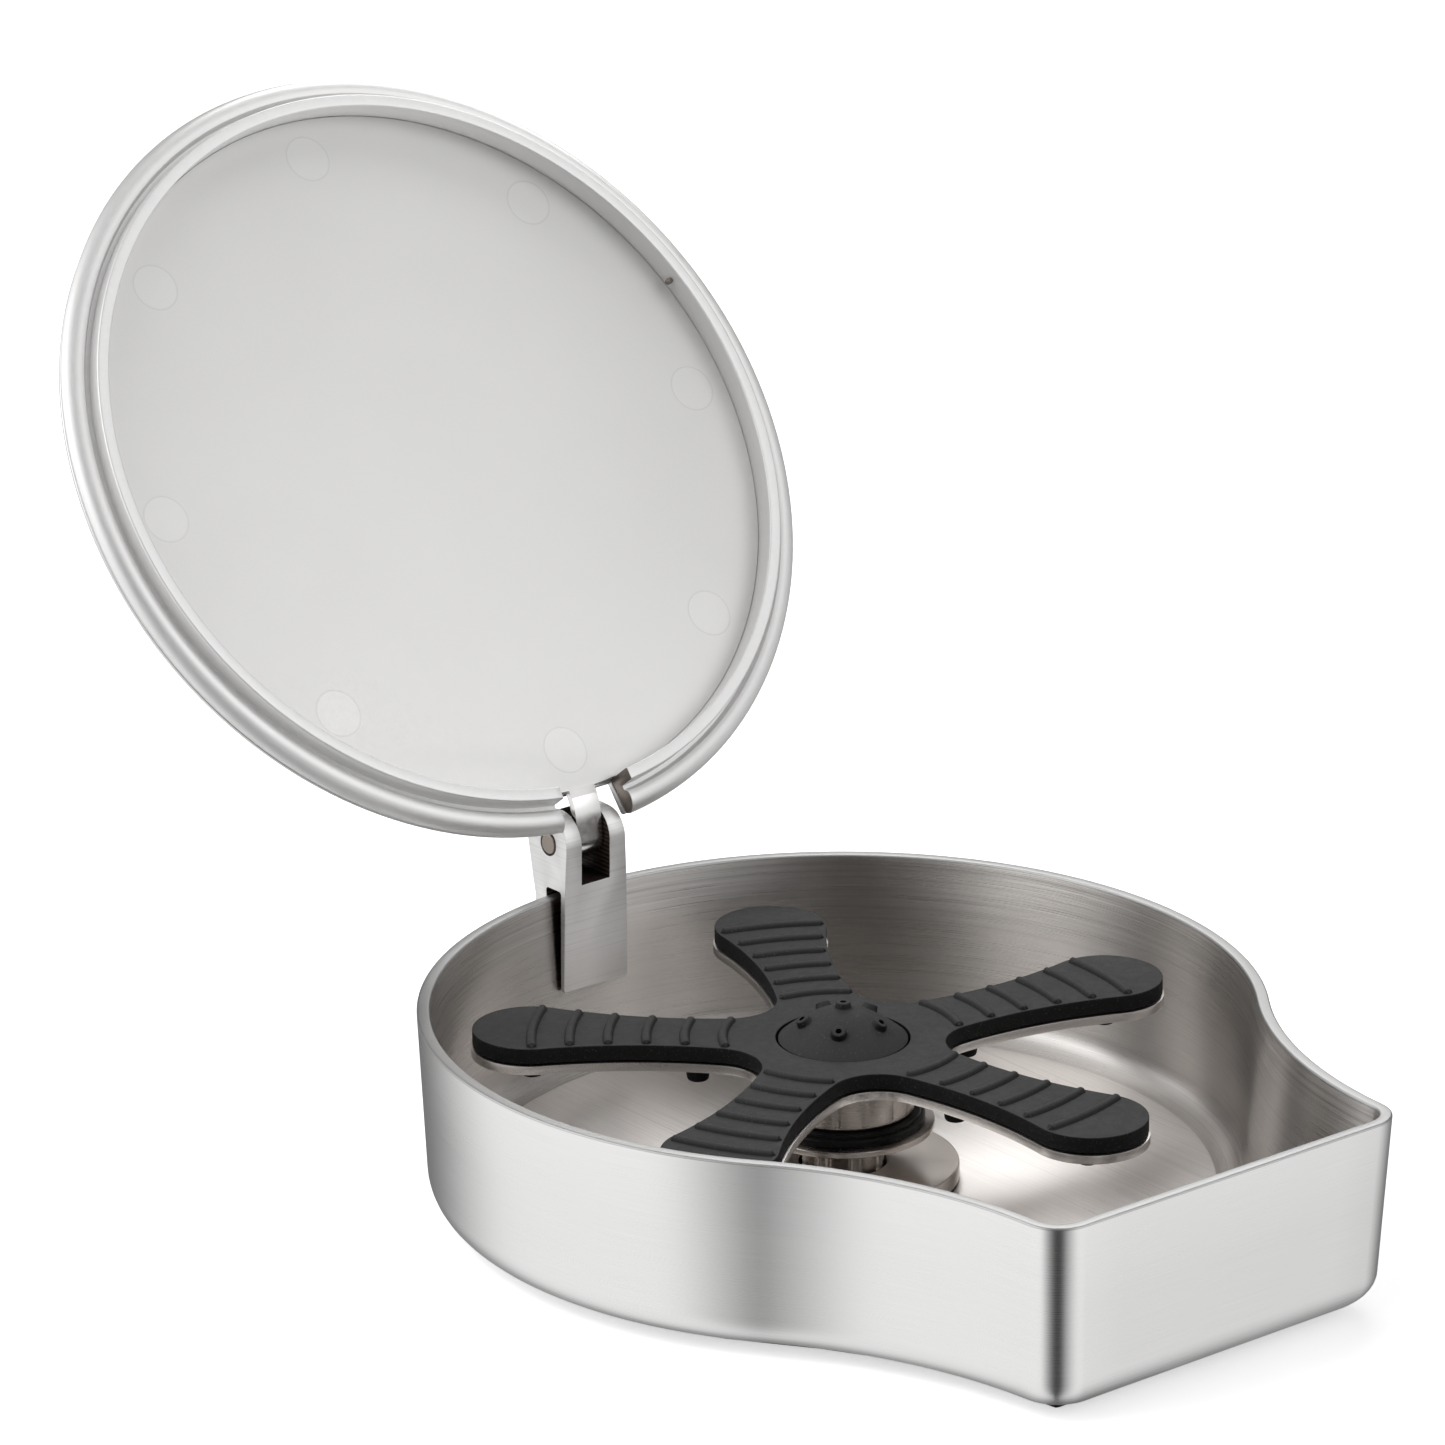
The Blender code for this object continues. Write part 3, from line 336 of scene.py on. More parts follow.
class Nodes:
    """Short ways to add and join shader nodes."""

    def __init__(self, tree):
        self.tree = tree

    def add(self, kind, **values):
        node = self.tree.nodes.new("ShaderNode" + kind)
        for key, value in values.items():
            if key in node.inputs:
                node.inputs[key].default_value = value
            else:
                setattr(node, key, value)
        return node

    def join(self, source, target):
        self.tree.links.new(source, target)

    def place(self, kind, stretch):
        """Texture coordinates in metres, stretched."""
        if kind == "UV":
            source = self.add("UVMap", uv_map="along").outputs["UV"]
        else:
            source = self.add("TexCoord").outputs["Object"]
        mapping = self.add("Mapping")
        mapping.inputs["Scale"].default_value = stretch
        self.join(source, mapping.inputs["Vector"])
        return mapping.outputs["Vector"]

    def noise(self, where, detail=3.0, roughness=0.6, scale=1.0):
        node = self.add("TexNoise", Scale=scale, Detail=detail, Roughness=roughness)
        self.join(where, node.inputs["Vector"])
        return node.outputs["Fac"]

    def remap(self, value, low, high, source=(0.3, 0.7)):
        node = self.add("MapRange")
        node.inputs["From Min"].default_value = source[0]
        node.inputs["From Max"].default_value = source[1]
        node.inputs["To Min"].default_value = low
        node.inputs["To Max"].default_value = high
        self.join(value, node.inputs["Value"])
        return node.outputs["Result"]

    def maths(self, operation, first, second=0.0):
        node = self.add("Math", operation=operation)
        for socket, value in zip(node.inputs, (first, second)):
            if isinstance(value, (int, float)):
                socket.default_value = value
            else:
                self.join(value, socket)
        return node.outputs["Value"]

    def blend(self, factor, first, second):
        """Mix two colours, each a triple or a socket."""
        node = self.add("Mix", data_type="RGBA")
        sockets = [socket for socket in node.inputs if socket.type == "RGBA"]
        self.join(factor, node.inputs["Factor"])
        for socket, value in zip(sockets, (first, second)):
            if isinstance(value, tuple):
                socket.default_value = (*value, 1)
            else:
                self.join(value, socket)
        return next(socket for socket in node.outputs if socket.type == "RGBA")

    def bump(self, height, strength, distance, normal=None):
        node = self.add("Bump", Strength=strength, Distance=distance)
        self.join(height, node.inputs["Height"])
        if normal is not None:
            self.join(normal, node.inputs["Normal"])
        return node.outputs["Normal"]


class MaterialNodes(Nodes):
    """A new material and its shader."""

    def __init__(self, name):
        self.material = bpy.data.materials.new(name)
        self.material.use_nodes = True
        super().__init__(self.material.node_tree)
        self.shader = self.tree.nodes["Principled BSDF"]

    def set(self, **values):
        for key, value in values.items():
            socket = self.shader.inputs[key.replace("_", " ")]
            if isinstance(value, (int, float, tuple)):
                socket.default_value = value
            else:
                self.join(value, socket)


def shade(colour, factor):
    return tuple(channel * factor for channel in colour)


def worn_edge(nodes, base, colour, kind, heights):
    """Coarse light and dark scratches that come in between two heights in metres."""
    apart = nodes.add("SeparateXYZ")
    nodes.join(nodes.add("TexCoord").outputs["Object"], apart.inputs[0])
    near = nodes.remap(apart.outputs["Z"], 0, 1, heights)
    coarse = nodes.noise(nodes.place(kind, (9, 1500, 1)), 3.0, 0.7)
    light = nodes.maths("MULTIPLY", near, nodes.remap(coarse, 0, 1, (0.42, 0.62)))
    base = nodes.blend(light, base, shade(colour, 1.35))
    deep = nodes.maths("MULTIPLY", near, nodes.remap(coarse, 0.6, 0, (0.30, 0.42)))
    return nodes.blend(deep, base, shade(colour, 0.5))


def brushed(
    name,
    colour,
    roughness,
    kind,
    stretch,
    streak=0.08,
    scratch=0.0,
    anisotropy=0.6,
    tangent="Z",
    turn=0.25,
    relief=0.12,
    metal=1.0,
    edge=None,
):
    """Brushed metal: fine streaks in colour, roughness and relief, long where the stretch is least."""
    nodes = MaterialNodes(name)
    where = nodes.place(kind, stretch)
    fine = nodes.noise(where, 4.0, 0.65)
    broad = nodes.noise(nodes.place("Object", (22, 22, 22)), 2.0)
    base = nodes.blend(nodes.remap(fine, 0, 1), shade(colour, 1 - streak), shade(colour, 1 + streak / 2))
    if scratch:
        lines = nodes.noise(where, 1.0, 0.4, 0.37)
        base = nodes.blend(nodes.remap(lines, 0, scratch, (0.60, 0.74)), base, shade(colour, 0.55))
    if edge:
        base = worn_edge(nodes, base, colour, kind, edge)
    spread = nodes.maths(
        "ADD",
        nodes.remap(fine, -0.05, 0.05),
        nodes.remap(broad, roughness - 0.02, roughness + 0.02),
    )
    nodes.set(
        Base_Color=base,
        Metallic=metal,
        Roughness=spread,
        Anisotropic=anisotropy,
        Normal=nodes.bump(fine, relief, 0.00002),
    )
    direction = nodes.add("Tangent", direction_type="UV_MAP" if tangent == "UV" else "RADIAL")
    if tangent == "UV":
        direction.uv_map = "along"
    else:
        direction.axis = tangent
    nodes.join(direction.outputs["Tangent"], nodes.shader.inputs["Tangent"])
    nodes.shader.inputs["Anisotropic Rotation"].default_value = turn
    return nodes.material


def panel_steel():
    """The lid's inner sheet: fine matte grain with eight faint round weld spots."""
    nodes = MaterialNodes("panel_steel")
    grain = nodes.noise(nodes.place("Object", (2600, 2600, 2600)), 2.0)
    cloud = nodes.noise(nodes.place("Object", (14, 14, 14)), 3.0)
    across = nodes.noise(nodes.place("Object", (7000, 1400, 1)), 2.0)
    spots = None
    rims = None
    place = nodes.add("TexCoord").outputs["Object"]
    inner, crest, outer = (radius * MM for radius in WELD_SPOT_RADII)
    for i in range(WELD_SPOTS):
        x, y = turn_point((WELD_SPOT_CIRCLE * MM, 0), 2 * math.pi * i / WELD_SPOTS)
        distance = nodes.add("VectorMath", operation="DISTANCE")
        nodes.join(place, distance.inputs[0])
        distance.inputs[1].default_value = (x, y, PANEL_Z[0] * MM)
        away = distance.outputs["Value"]
        inside = nodes.remap(away, 1, 0, (crest, outer))
        rim = nodes.maths("SUBTRACT", inside, nodes.remap(away, 1, 0, (inner, crest)))
        spots = inside if spots is None else nodes.maths("MAXIMUM", spots, inside)
        rims = rim if rims is None else nodes.maths("MAXIMUM", rims, rim)
    sheet = nodes.blend(nodes.remap(cloud, 0, 1), (0.73, 0.725, 0.715), (0.77, 0.765, 0.755))
    sheet = nodes.blend(nodes.remap(grain, 0, 0.5), sheet, (0.79, 0.785, 0.775))
    lined = nodes.blend(nodes.remap(across, 0, 1), (0.80, 0.795, 0.785), (0.92, 0.915, 0.905))
    base = nodes.blend(nodes.maths("MULTIPLY", spots, 0.12), sheet, lined)
    base = nodes.blend(nodes.maths("MULTIPLY", rims, 0.6), base, (0.62, 0.615, 0.605))
    nodes.set(
        Base_Color=base,
        Metallic=0.85,
        Roughness=nodes.maths("ADD", nodes.remap(grain, 0.48, 0.56), nodes.maths("MULTIPLY", spots, -0.015)),
        Normal=nodes.bump(rims, 0.25, 0.00003, nodes.bump(grain, 0.05, 0.00001)),
    )
    return nodes.material


def rubber(name, top, side, roughness, grain=0.10):
    """Moulded rubber: painted shade that darkens the sides against the top by which way the surface faces, and
    fine specks.
    """
    nodes = MaterialNodes(name)
    speck = nodes.noise(nodes.place("Object", (3200, 3200, 3200)), 2.0, 0.7)
    mould = nodes.noise(nodes.place("Object", (700, 700, 700)), 3.0)
    upwards = nodes.add("SeparateXYZ")
    nodes.join(nodes.add("NewGeometry").outputs["Normal"], upwards.inputs[0])
    # Painted shade: faces that turn away from up take the darker side colour.
    painted_side_shade_mask = nodes.remap(upwards.outputs["Z"], 0, 1, (0.15, 0.85))
    base = nodes.blend(painted_side_shade_mask, side, top)
    base = nodes.blend(nodes.remap(speck, 0, 0.5, (0.62, 0.76)), base, shade(top, 4.0))
    nodes.set(
        Base_Color=base,
        Roughness=nodes.remap(mould, roughness - 0.05, roughness + 0.07),
        Normal=nodes.bump(mould, grain, 0.00004, nodes.bump(speck, grain, 0.00002)),
    )
    nodes.shader.inputs["Specular IOR Level"].default_value = 0.16
    return nodes.material


def shaded_pocket_paint():
    """The fork's inside and the wall slot: painted shade, near-black brown with curved ring marks, put where they
    show only shade and dark reflection.
    """
    nodes = MaterialNodes("shaded_pocket_paint")
    marks = nodes.add("TexWave", wave_type="RINGS", rings_direction="Y")
    marks.inputs["Scale"].default_value = 260.0
    marks.inputs["Distortion"].default_value = 2.0
    marks.inputs["Detail"].default_value = 2.0
    nodes.join(nodes.place("Object", (1, 1, 1.6)), marks.inputs["Vector"])
    value = marks.outputs["Fac"]
    base = nodes.blend(value, (0.010, 0.006, 0.004), (0.085, 0.058, 0.045))
    nodes.set(Base_Color=base, Metallic=0.4, Roughness=0.45, Normal=nodes.bump(value, 0.3, 0.00005))
    return nodes.material


def build_materials():
    steel = (0.80, 0.795, 0.79)
    warm = (0.70, 0.675, 0.655)
    nickel = (0.64, 0.585, 0.545)
    fine_turning = (400, 400, 9000)
    return {
        "outside": brushed("outside_steel", steel, 0.31, "UV", (45, 9000, 1), 0.05, 0.0, 0.86, "UV"),
        "inside": brushed(
            "inside_steel",
            shade(warm, 0.95),
            0.29,
            "UV",
            (30, 5200, 1),
            0.10,
            0.25,
            0.88,
            "UV",
            edge=(WORN_FROM_Z * MM, RIM_Z * MM),
        ),
        "floor": brushed(
            "floor_steel", shade(warm, 1.2), 0.32, "Object", (5200, 45, 5200), 0.12, 0.22, 0.75, "X"
        ),
        "rim": brushed("rim_steel", shade(steel, 0.62), 0.42, "UV", (120, 6000, 1), 0.05, 0.0, 0.2, "UV"),
        "ring": brushed(
            "ring_steel", shade(steel, 0.98), 0.42, "Object", fine_turning, 0.05, 0.0, 0.1, metal=0.65
        ),
        "cover": brushed("cover_steel", steel, 0.32, "Object", (60, 9000, 9000), 0.06, 0.0, 0.5),
        "plate": brushed("plate_steel", warm, 0.30, "Object", (9000, 9000, 9000), 0.02, 0.0, 0.0, relief=0.0),
        "bracket": brushed("bracket_steel", steel, 0.48, "Object", (60, 60, 7000), 0.08, 0.2, 0.5, "X", 0.0),
        "strap": brushed("strap_steel", steel, 0.20, "Object", (900, 900, 900), 0.02, 0.0, 0.0, relief=0.0),
        "hardware": brushed("hardware_steel", (0.58, 0.56, 0.54), 0.25, "Object", fine_turning, 0.10),
        "pin": brushed("pin_steel", (0.30, 0.26, 0.23), 0.35, "Object", (2000, 2000, 2000), 0.1, 0.0, 0.0),
        "nickel": brushed(
            "nickel_plate", shade(nickel, 0.72), 0.30, "Object", (90, 90, 9000), 0.05, 0.0, 0.75, relief=0.03
        ),
        "panel": panel_steel(),
        # Each rubber's second colour is painted shade for its sides.
        "rubber": rubber("moulded_rubber", (0.036, 0.036, 0.0365), (0.007, 0.007, 0.007), 0.62),
        "seal": rubber("seal_rubber_black", (0.014, 0.014, 0.014), (0.008, 0.008, 0.008), 0.34, 0.03),
        "pocket": shaded_pocket_paint(),
    }


# ---- Basin ----


def flare_centre():
    """Centre of the hollow arc that touches the bowl's circle and the prow's corner arc."""
    corner = Vector((PROW_CORNER_X, PROW_CORNER_RADIUS - PROW_REACH))
    to_bowl = BOWL_RADIUS + FLARE_RADIUS
    to_corner = FLARE_RADIUS + PROW_CORNER_RADIUS
    along = (to_bowl**2 - to_corner**2 + corner.length_squared) / (2 * corner.length)
    aside = math.sqrt(to_bowl**2 - along**2)
    direction = corner.normalized()
    return direction * along + Vector((-direction.y, direction.x)) * aside


def basin_outline(inset, corner_inset=None, bowl_steps=80, flare_steps=30, corner_steps=10):
    """The basin's plan outline, moved inwards by inset, anticlockwise from the front's right end."""
    corner_inset = inset if corner_inset is None else corner_inset
    centre = flare_centre()
    tangent = math.atan2(centre.y, centre.x)
    corner_radius = max(PROW_CORNER_RADIUS - corner_inset, 0.6)
    corner_y = inset + corner_radius - PROW_REACH
    flare = FLARE_RADIUS + inset
    corner_x = centre.x - math.sqrt((flare + corner_radius) ** 2 - (corner_y - centre.y) ** 2)
    meeting = math.atan2(corner_y - centre.y, corner_x - centre.x) % (2 * math.pi)
    right = arc((corner_x, corner_y), corner_radius, -math.pi / 2, meeting - math.pi, corner_steps)
    right += arc(centre, flare, meeting, tangent + math.pi, flare_steps, (False, True))
    right += arc((0, 0), BOWL_RADIUS - inset, tangent, math.pi / 2, bowl_steps, (False, True))
    left = [(-x, y) for x, y in reversed(right[:-1])]
    front = [(x * corner_x, -PROW_REACH + inset) for x in (-0.75, -0.5, -0.25, 0, 0.25, 0.5, 0.75)]
    return right + left + front


def wall_inset(height):
    return (RIM_Z - height) * DRAFT


def basin_rows():
    """(inset, height, surface) of each row, from the underside round the rim to the floor."""
    quarter = [math.pi / 2 * i / 10 for i in range(11)]
    foot_z = BASIN_UNDERSIDE + FOOT_RADIUS
    foot_inset = wall_inset(foot_z) + FOOT_RADIUS
    rows = [
        (foot_inset - FOOT_RADIUS * math.sin(t), foot_z - FOOT_RADIUS * math.cos(t), "outside")
        for t in quarter
    ]
    rows.append((wall_inset(20), 20, "outside"))
    edge = [math.pi / 2 * i / 4 for i in range(5)]
    low = RIM_Z - RIM_ROUNDING
    rows.append((0.0, low, "outside"))
    rows += [
        (RIM_ROUNDING * (1 - math.cos(t)), low + RIM_ROUNDING * math.sin(t), "rim") for t in edge[1:]
    ]
    rows += [
        (SHEET - RIM_ROUNDING * (1 - math.sin(t)), low + RIM_ROUNDING * math.cos(t), "rim") for t in edge
    ]
    rows.append((SHEET + wall_inset(20), 20, "inside"))
    fillet_z = FLOOR_Z + FLOOR_FILLET
    fillet_inset = wall_inset(fillet_z) + SHEET + FLOOR_FILLET
    rows += [
        (
            fillet_inset - FLOOR_FILLET * math.cos(t),
            fillet_z - FLOOR_FILLET * math.sin(t),
            "inside",
        )
        for t in quarter
    ]
    return rows


def build_basin(look):
    """Loft the wall with a layout that runs along the brushing, then drill the floor."""
    surfaces = ["outside", "rim", "inside", "floor"]
    rows = basin_rows()
    loops = [basin_outline(inset, 0 if surface == "outside" else inset) for inset, height, surface in rows]
    count = len(loops[0])
    along = [0.0]
    rim = loops[len(rows) // 2]
    for i in range(count):
        along.append(along[-1] + (Vector(rim[(i + 1) % count]) - Vector(rim[i])).length * MM)
    up = [0.0]
    for (inset, height, _), (next_inset, next_height, _) in zip(rows, rows[1:]):
        up.append(up[-1] + math.hypot(next_inset - inset, next_height - height) * MM)
    shape = bmesh.new()
    layout = shape.loops.layers.uv.new("along")
    rings = [
        [shape.verts.new((x, y, height)) for x, y in loop]
        for loop, (inset, height, surface) in zip(loops, rows)
    ]
    for r in range(len(rings) - 1):
        for i in range(count):
            j = (i + 1) % count
            face = shape.faces.new((rings[r][i], rings[r][j], rings[r + 1][j], rings[r + 1][i]))
            face.material_index = surfaces.index(rows[r + 1][2])
            corners = ((i, r), (i + 1, r), (i + 1, r + 1), (i, r + 1))
            for loop, (column, row) in zip(face.loops, corners):
                loop[layout].uv = (along[column], up[row])
    shape.faces.new(rings[0][::-1])
    shape.faces.new(rings[-1]).material_index = surfaces.index("floor")
    basin = from_bmesh("basin_shell", shape)
    for surface in surfaces:
        basin.data.materials.append(look[surface])
    low, high = BASIN_UNDERSIDE - 1, FLOOR_Z + 1
    holes = [
        rod("valve_hole", 10.8, (0, 0, low), (0, 0, high), 64),
        rod("drain_hole", 14.5, (0, DRAIN_Y, low), (0, DRAIN_Y, high), 64),
    ]
    combine(basin, holes, "DIFFERENCE")
    dress(basin, "fixture", None, "brushed_steel", "basin")


# ---- Star ----


def flank_radius():
    """Radius of the hollow flank that passes the waist and touches the tip's circle."""
    reach = TIP_CENTRE - WAIST_X
    return (reach**2 + WAIST_HALF_WIDTH**2 - TIP_RADIUS**2) / (2 * (TIP_RADIUS - WAIST_HALF_WIDTH))


def arm_outline(inset=0.0):
    """One arm along +X, from crotch to crotch, moved inwards by inset."""
    flank = flank_radius()
    flank_centre = (WAIST_X, WAIST_HALF_WIDTH + flank)
    bisector = math.pi / ARMS
    crotch_centre = turn_point((CROTCH_CENTRE, 0), bisector)
    tip_angle = math.atan2(flank_centre[1], WAIST_X - TIP_CENTRE)
    crotch_angle = math.atan2(crotch_centre[1] - flank_centre[1], crotch_centre[0] - WAIST_X)
    upper = arc((TIP_CENTRE, 0), TIP_RADIUS - inset, 0, tip_angle, 18)
    upper += arc(flank_centre, flank + inset, tip_angle - math.pi, crotch_angle, 18, (False, True))
    upper += arc(crotch_centre, CROTCH_RADIUS + inset, crotch_angle, bisector - math.pi, 8, (False, True))
    lower = [(x, -y) for x, y in reversed(upper[1:-1])]
    return lower + upper


def arm_angles():
    return [FIRST_ARM + 2 * math.pi * i / ARMS for i in range(ARMS)]


def star_outline(inset=0.0):
    return [turn_point(point, angle) for angle in arm_angles() for point in arm_outline(inset)]


def arm_half_width(distance):
    """Half the arm's width at a distance along it."""
    flank = flank_radius()
    hollow = WAIST_HALF_WIDTH + flank - math.sqrt(flank**2 - (distance - WAIST_X) ** 2)
    tip = math.sqrt(max(TIP_RADIUS**2 - (distance - TIP_CENTRE) ** 2, 0))
    return hollow if distance < TIP_CENTRE - TIP_RADIUS * 0.28 else tip


def rib_shape(radius, angle, top):
    """A low moulded bar across an arm, on a circle about the star's centre, with soft feet and ends."""
    section = [(-1.1, -0.1), (-0.96, 0.2), (-0.82, 0.52), (-0.58, 0.82), (-0.3, 0.96), (0, 1)]
    section += [(-x, y) for x, y in reversed(section[:-1])]
    half = arm_half_width(radius * 0.985) - PAD_INSET - 0.35
    swing = math.asin(half / radius)
    stations = 28
    shape = bmesh.new()
    rows = []
    for i in range(stations + 1):
        t = 2 * i / stations - 1
        end_distance = (1 - abs(t)) * half
        scale = math.sqrt(max(1 - (1 - min(end_distance / 0.9, 1)) ** 2, 0.0025))
        row = []
        for across, rise in section:
            point = turn_point((radius + across * RIB_HALF_WIDTH * scale, 0), angle + t * swing)
            row.append(shape.verts.new((*point, top + rise * RIB_RISE * scale)))
        rows.append(row)
    for lower, upper in zip(rows, rows[1:]):
        for i in range(len(section)):
            j = (i + 1) % len(section)
            shape.faces.new((lower[i], lower[j], upper[j], upper[i]))
    shape.faces.new(rows[0][::-1])
    shape.faces.new(rows[-1])
    bmesh.ops.recalc_face_normals(shape, faces=shape.faces)
    return shape


def join_shapes(item, shapes):
    """Add closed bmesh shapes, in millimetres, to an object's mesh."""
    whole = bmesh.new()
    whole.from_mesh(item.data)
    for shape in shapes:
        part = bpy.data.meshes.new("part")
        bmesh.ops.scale(shape, vec=(MM, MM, MM), verts=shape.verts)
        shape.to_mesh(part)
        shape.free()
        whole.from_mesh(part)
        bpy.data.meshes.remove(part)
    whole.to_mesh(item.data)
    whole.free()


def plug_shape(x, y):
    """A moulded plug: a stem through the plate and a cup-shaped head under it."""
    stem = [(0, 25.6), (1.3, 25.6), (1.3, 23.0)]
    head = [(2.3, 23.0, 0.3), (1.75, 19.5, 0.5), (0.8, 19.5), (0.6, 19.9), (0, 19.9)]
    shape = turned_shape(rounded(stem + head), 32)
    bmesh.ops.translate(shape, vec=(x, y, 0), verts=shape.verts)
    return shape


def build_star(look):
    holes = [circle((0, 0), 10.0, 72)]
    places = [turn_point((radius, 0), angle) for angle in arm_angles() for radius in PLUG_RADII]
    holes += [circle(place, 1.6, 20) for place in places]
    plate = slab("star_plate_sheet", [star_outline()] + holes, *PLATE_Z)
    soften(plate, 0.1, 2, 60)
    dress(plate, "star", look["plate"], "satin_steel", "star_plate")
    pad = slab("star_pad_rubber", [star_outline(PAD_INSET), circle((0, 0), 11.1, 72)], *PAD_Z)
    soften(pad, 0.38, 4, 60)
    ribs = [rib_shape(radius, angle, PAD_Z[1]) for angle in arm_angles() for radius in RIB_RADII]
    join_shapes(pad, ribs + [plug_shape(x, y) for x, y in places])
    dress(pad, "star", look["rubber"], "black_rubber", "star_pad")


def dome_height(radius):
    """Height of the dome's skin: a cap that flattens a little towards its brim."""
    rise = DOME_TOP - DOME_SHOULDER
    sphere = (DOME_RADIUS**2 + rise**2) / (2 * rise)
    cap = DOME_TOP - sphere + math.sqrt(sphere**2 - radius**2)
    wave = DOME_SHOULDER + rise * (1 + math.cos(math.pi * radius / DOME_RADIUS)) / 2
    return 0.65 * cap + 0.35 * wave


def build_dome(look):
    radii = [DOME_RADIUS * (1 - i / 24) for i in range(25)]
    cap = [(radius, dome_height(radius)) for radius in radii]
    inner_top = DOME_TOP - 1.7
    inner = [(0, inner_top), (3.0, inner_top - 0.3), (5.4, inner_top - 1.2), (7.0, inner_top - 2.6)]
    skirt = [(7.0, 20.2), (8.3, 20.2, 0.2), (8.3, 25.1)]
    brim = [(DOME_RADIUS, 25.1, 0.2), (DOME_RADIUS, 27.3)]
    dome = turned("spray_dome_rubber", inner + rounded(skirt + brim) + cap)
    slope = (dome_height(NOZZLE_RING + 0.1) - dome_height(NOZZLE_RING - 0.1)) / 0.2
    places = [(Vector((0, 0, DOME_TOP)), Vector((0, 0, 1)))]
    for i in range(RING_NOZZLES):
        turn = NOZZLE_TURN + 2 * math.pi * i / RING_NOZZLES
        top = Vector((*turn_point((NOZZLE_RING, 0), turn), dome_height(NOZZLE_RING)))
        places.append((top, Vector((*turn_point((-slope, 0), turn), 1)).normalized()))
    corners = [(0, 1.0), (1.12, 1.0, 0.3), (1.38, 0.05, 0.2), (1.75, -0.3), (1.0, -1.0), (0, -1.0)]
    profile = rounded(corners, 5)
    nozzles = []
    holes = []
    for i, (top, outwards) in enumerate(places):
        nozzle = turned(f"nozzle_{i}", profile, 28)
        turn = outwards.to_track_quat("Z", "X").to_matrix().to_4x4()
        nozzle.matrix_world = Matrix.Translation(top * MM) @ turn
        nozzles.append(nozzle)
        holes.append(rod(f"hole_{i}", 0.52, top - outwards * 3.5, top + outwards * 2, 20))
    combine(dome, nozzles, "UNION")
    combine(dome, holes, "DIFFERENCE")
    dress(dome, "star", look["rubber"], "black_rubber", "spray_dome")


def build_hub(look):
    corners = [
        (5.9, 15.8),
        (11.9, 15.8, 0.35),
        (11.9, 23.0, 0.3),
        (9.7, 23.0),
        (9.7, 24.6, 0.15),
        (8.6, 24.6, 0.15),
        (8.6, 18.5),
        (5.9, 18.5),
    ]
    hub = turned("star_hub_cup", rounded(corners))
    grooves = []
    for i in range(HUB_GROOVES):
        x, y = turn_point((14.2, 0), 2 * math.pi * i / HUB_GROOVES)
        grooves.append(rod(f"groove_{i}", 2.45, (x, y, 16.4), (x, y, 22.4), 20))
    combine(hub, grooves, "DIFFERENCE")
    soften(hub, 0.08, 2, 30)
    dress(hub, "star", look["nickel"], "nickel_plated_brass", "star_hub")


# ---- Valve ----


def build_plunger(look):
    corners = [(0, -11.0), (2.6, -11.0), (2.6, 20.5, 0.2), (5.5, 20.5, 0.35)]
    corners += [(5.5, 19.9), (4.6, 19.9), (4.6, 18.5), (5.5, 18.5)]
    corners += [(5.5, 13.4), (15.2, 13.4, 0.25), (15.2, 12.3, 0.25), (6.8, 12.3)]
    for height in (-1.6, -5.0):
        corners += [(6.8, height + 0.8), (5.7, height + 0.8), (5.7, height - 0.8), (6.8, height - 0.8)]
    corners += [(6.8, -6.8, 0.3), (4.0, -6.8), (4.0, -11.7), (3.0, -11.7)]
    corners += [(3.0, -15.0), (2.0, -15.0), (2.0, -21.0), (0, -21.0)]
    plunger = turned("plunger_turned", rounded(corners))
    flutes = []
    for i in range(STEM_FLUTES):
        x, y = turn_point((7.3, 0), 2 * math.pi * (i + 0.5) / STEM_FLUTES)
        flutes.append(rod(f"flute_{i}", 1.2, (x, y, 5.6), (x, y, 11.6), 28))
    combine(plunger, flutes, "DIFFERENCE")
    soften(plunger, 0.1, 2, 40)
    dress(plunger, "plunger", look["nickel"], "nickel_plated_brass", "plunger")
    corners = [(9.0, 13.45), (13.6, 13.45, 0.15), (13.6, 14.75, 0.5), (12.9, 14.9)]
    corners += [(12.9, 15.6, 0.3), (9.0, 15.6)]
    seal = turned("hub_seal", rounded(corners, 6))
    dress(seal, "plunger", look["seal"], "seal_rubber", "flange_seal_ring")


def build_valve_body(look):
    corners = [
        (7.3, 6.0, 0.25),
        (19.3, 6.0, 0.45),
        (19.3, 3.4, 0.1),
        (17.8, 3.4),
        (17.8, 4.7),
        (12.7, 4.7),
        (12.7, 3.4),
        (10.4, 3.4),
        (10.4, -44.0),
        (9.4, -45.0),
        (7.5, -45.0),
        (7.5, -40.3),
        (8.1, -40.3),
        (8.1, -38.9),
        (7.5, -38.9),
        (7.5, -15.0),
        (4.5, -15.0),
        (4.5, -12.0),
        (7.3, -12.0),
    ]
    body = turned("valve_body_turned", rounded(corners))
    dress(body, "fixture", look["nickel"], "nickel_plated_brass", "valve_body")


def build_drain(look):
    centre = (0, DRAIN_Y)
    corners = [(15.5, 6.6, 0.2), (19.0, 6.6, 0.5), (19.0, 4.4, 0.1), (14.1, 4.4)]
    corners += [(14.1, -45.0), (12.0, -45.0), (12.0, 5.2), (15.5, 5.2)]
    body = turned("drain_flange", rounded(corners), 96, centre)
    dress(body, "fixture", look["nickel"], "nickel_plated_brass", "drain_body")
    holes = [circle(centre, STRAINER_HOLE, 24)]
    for count, radius in ((6, 5.2), (12, 10.2)):
        for i in range(count):
            x, y = turn_point((radius, 0), 2 * math.pi * i / count)
            holes.append(circle((x, y + DRAIN_Y), STRAINER_HOLE, 24))
    strainer = slab("drain_grid", [circle(centre, 15.1, 96)] + holes, 5.5, 6.4)
    soften(strainer, 0.12, 2, 60)
    dress(strainer, "fixture", look["hardware"], "plain_steel", "drain_strainer")


# ---- Hinge ----


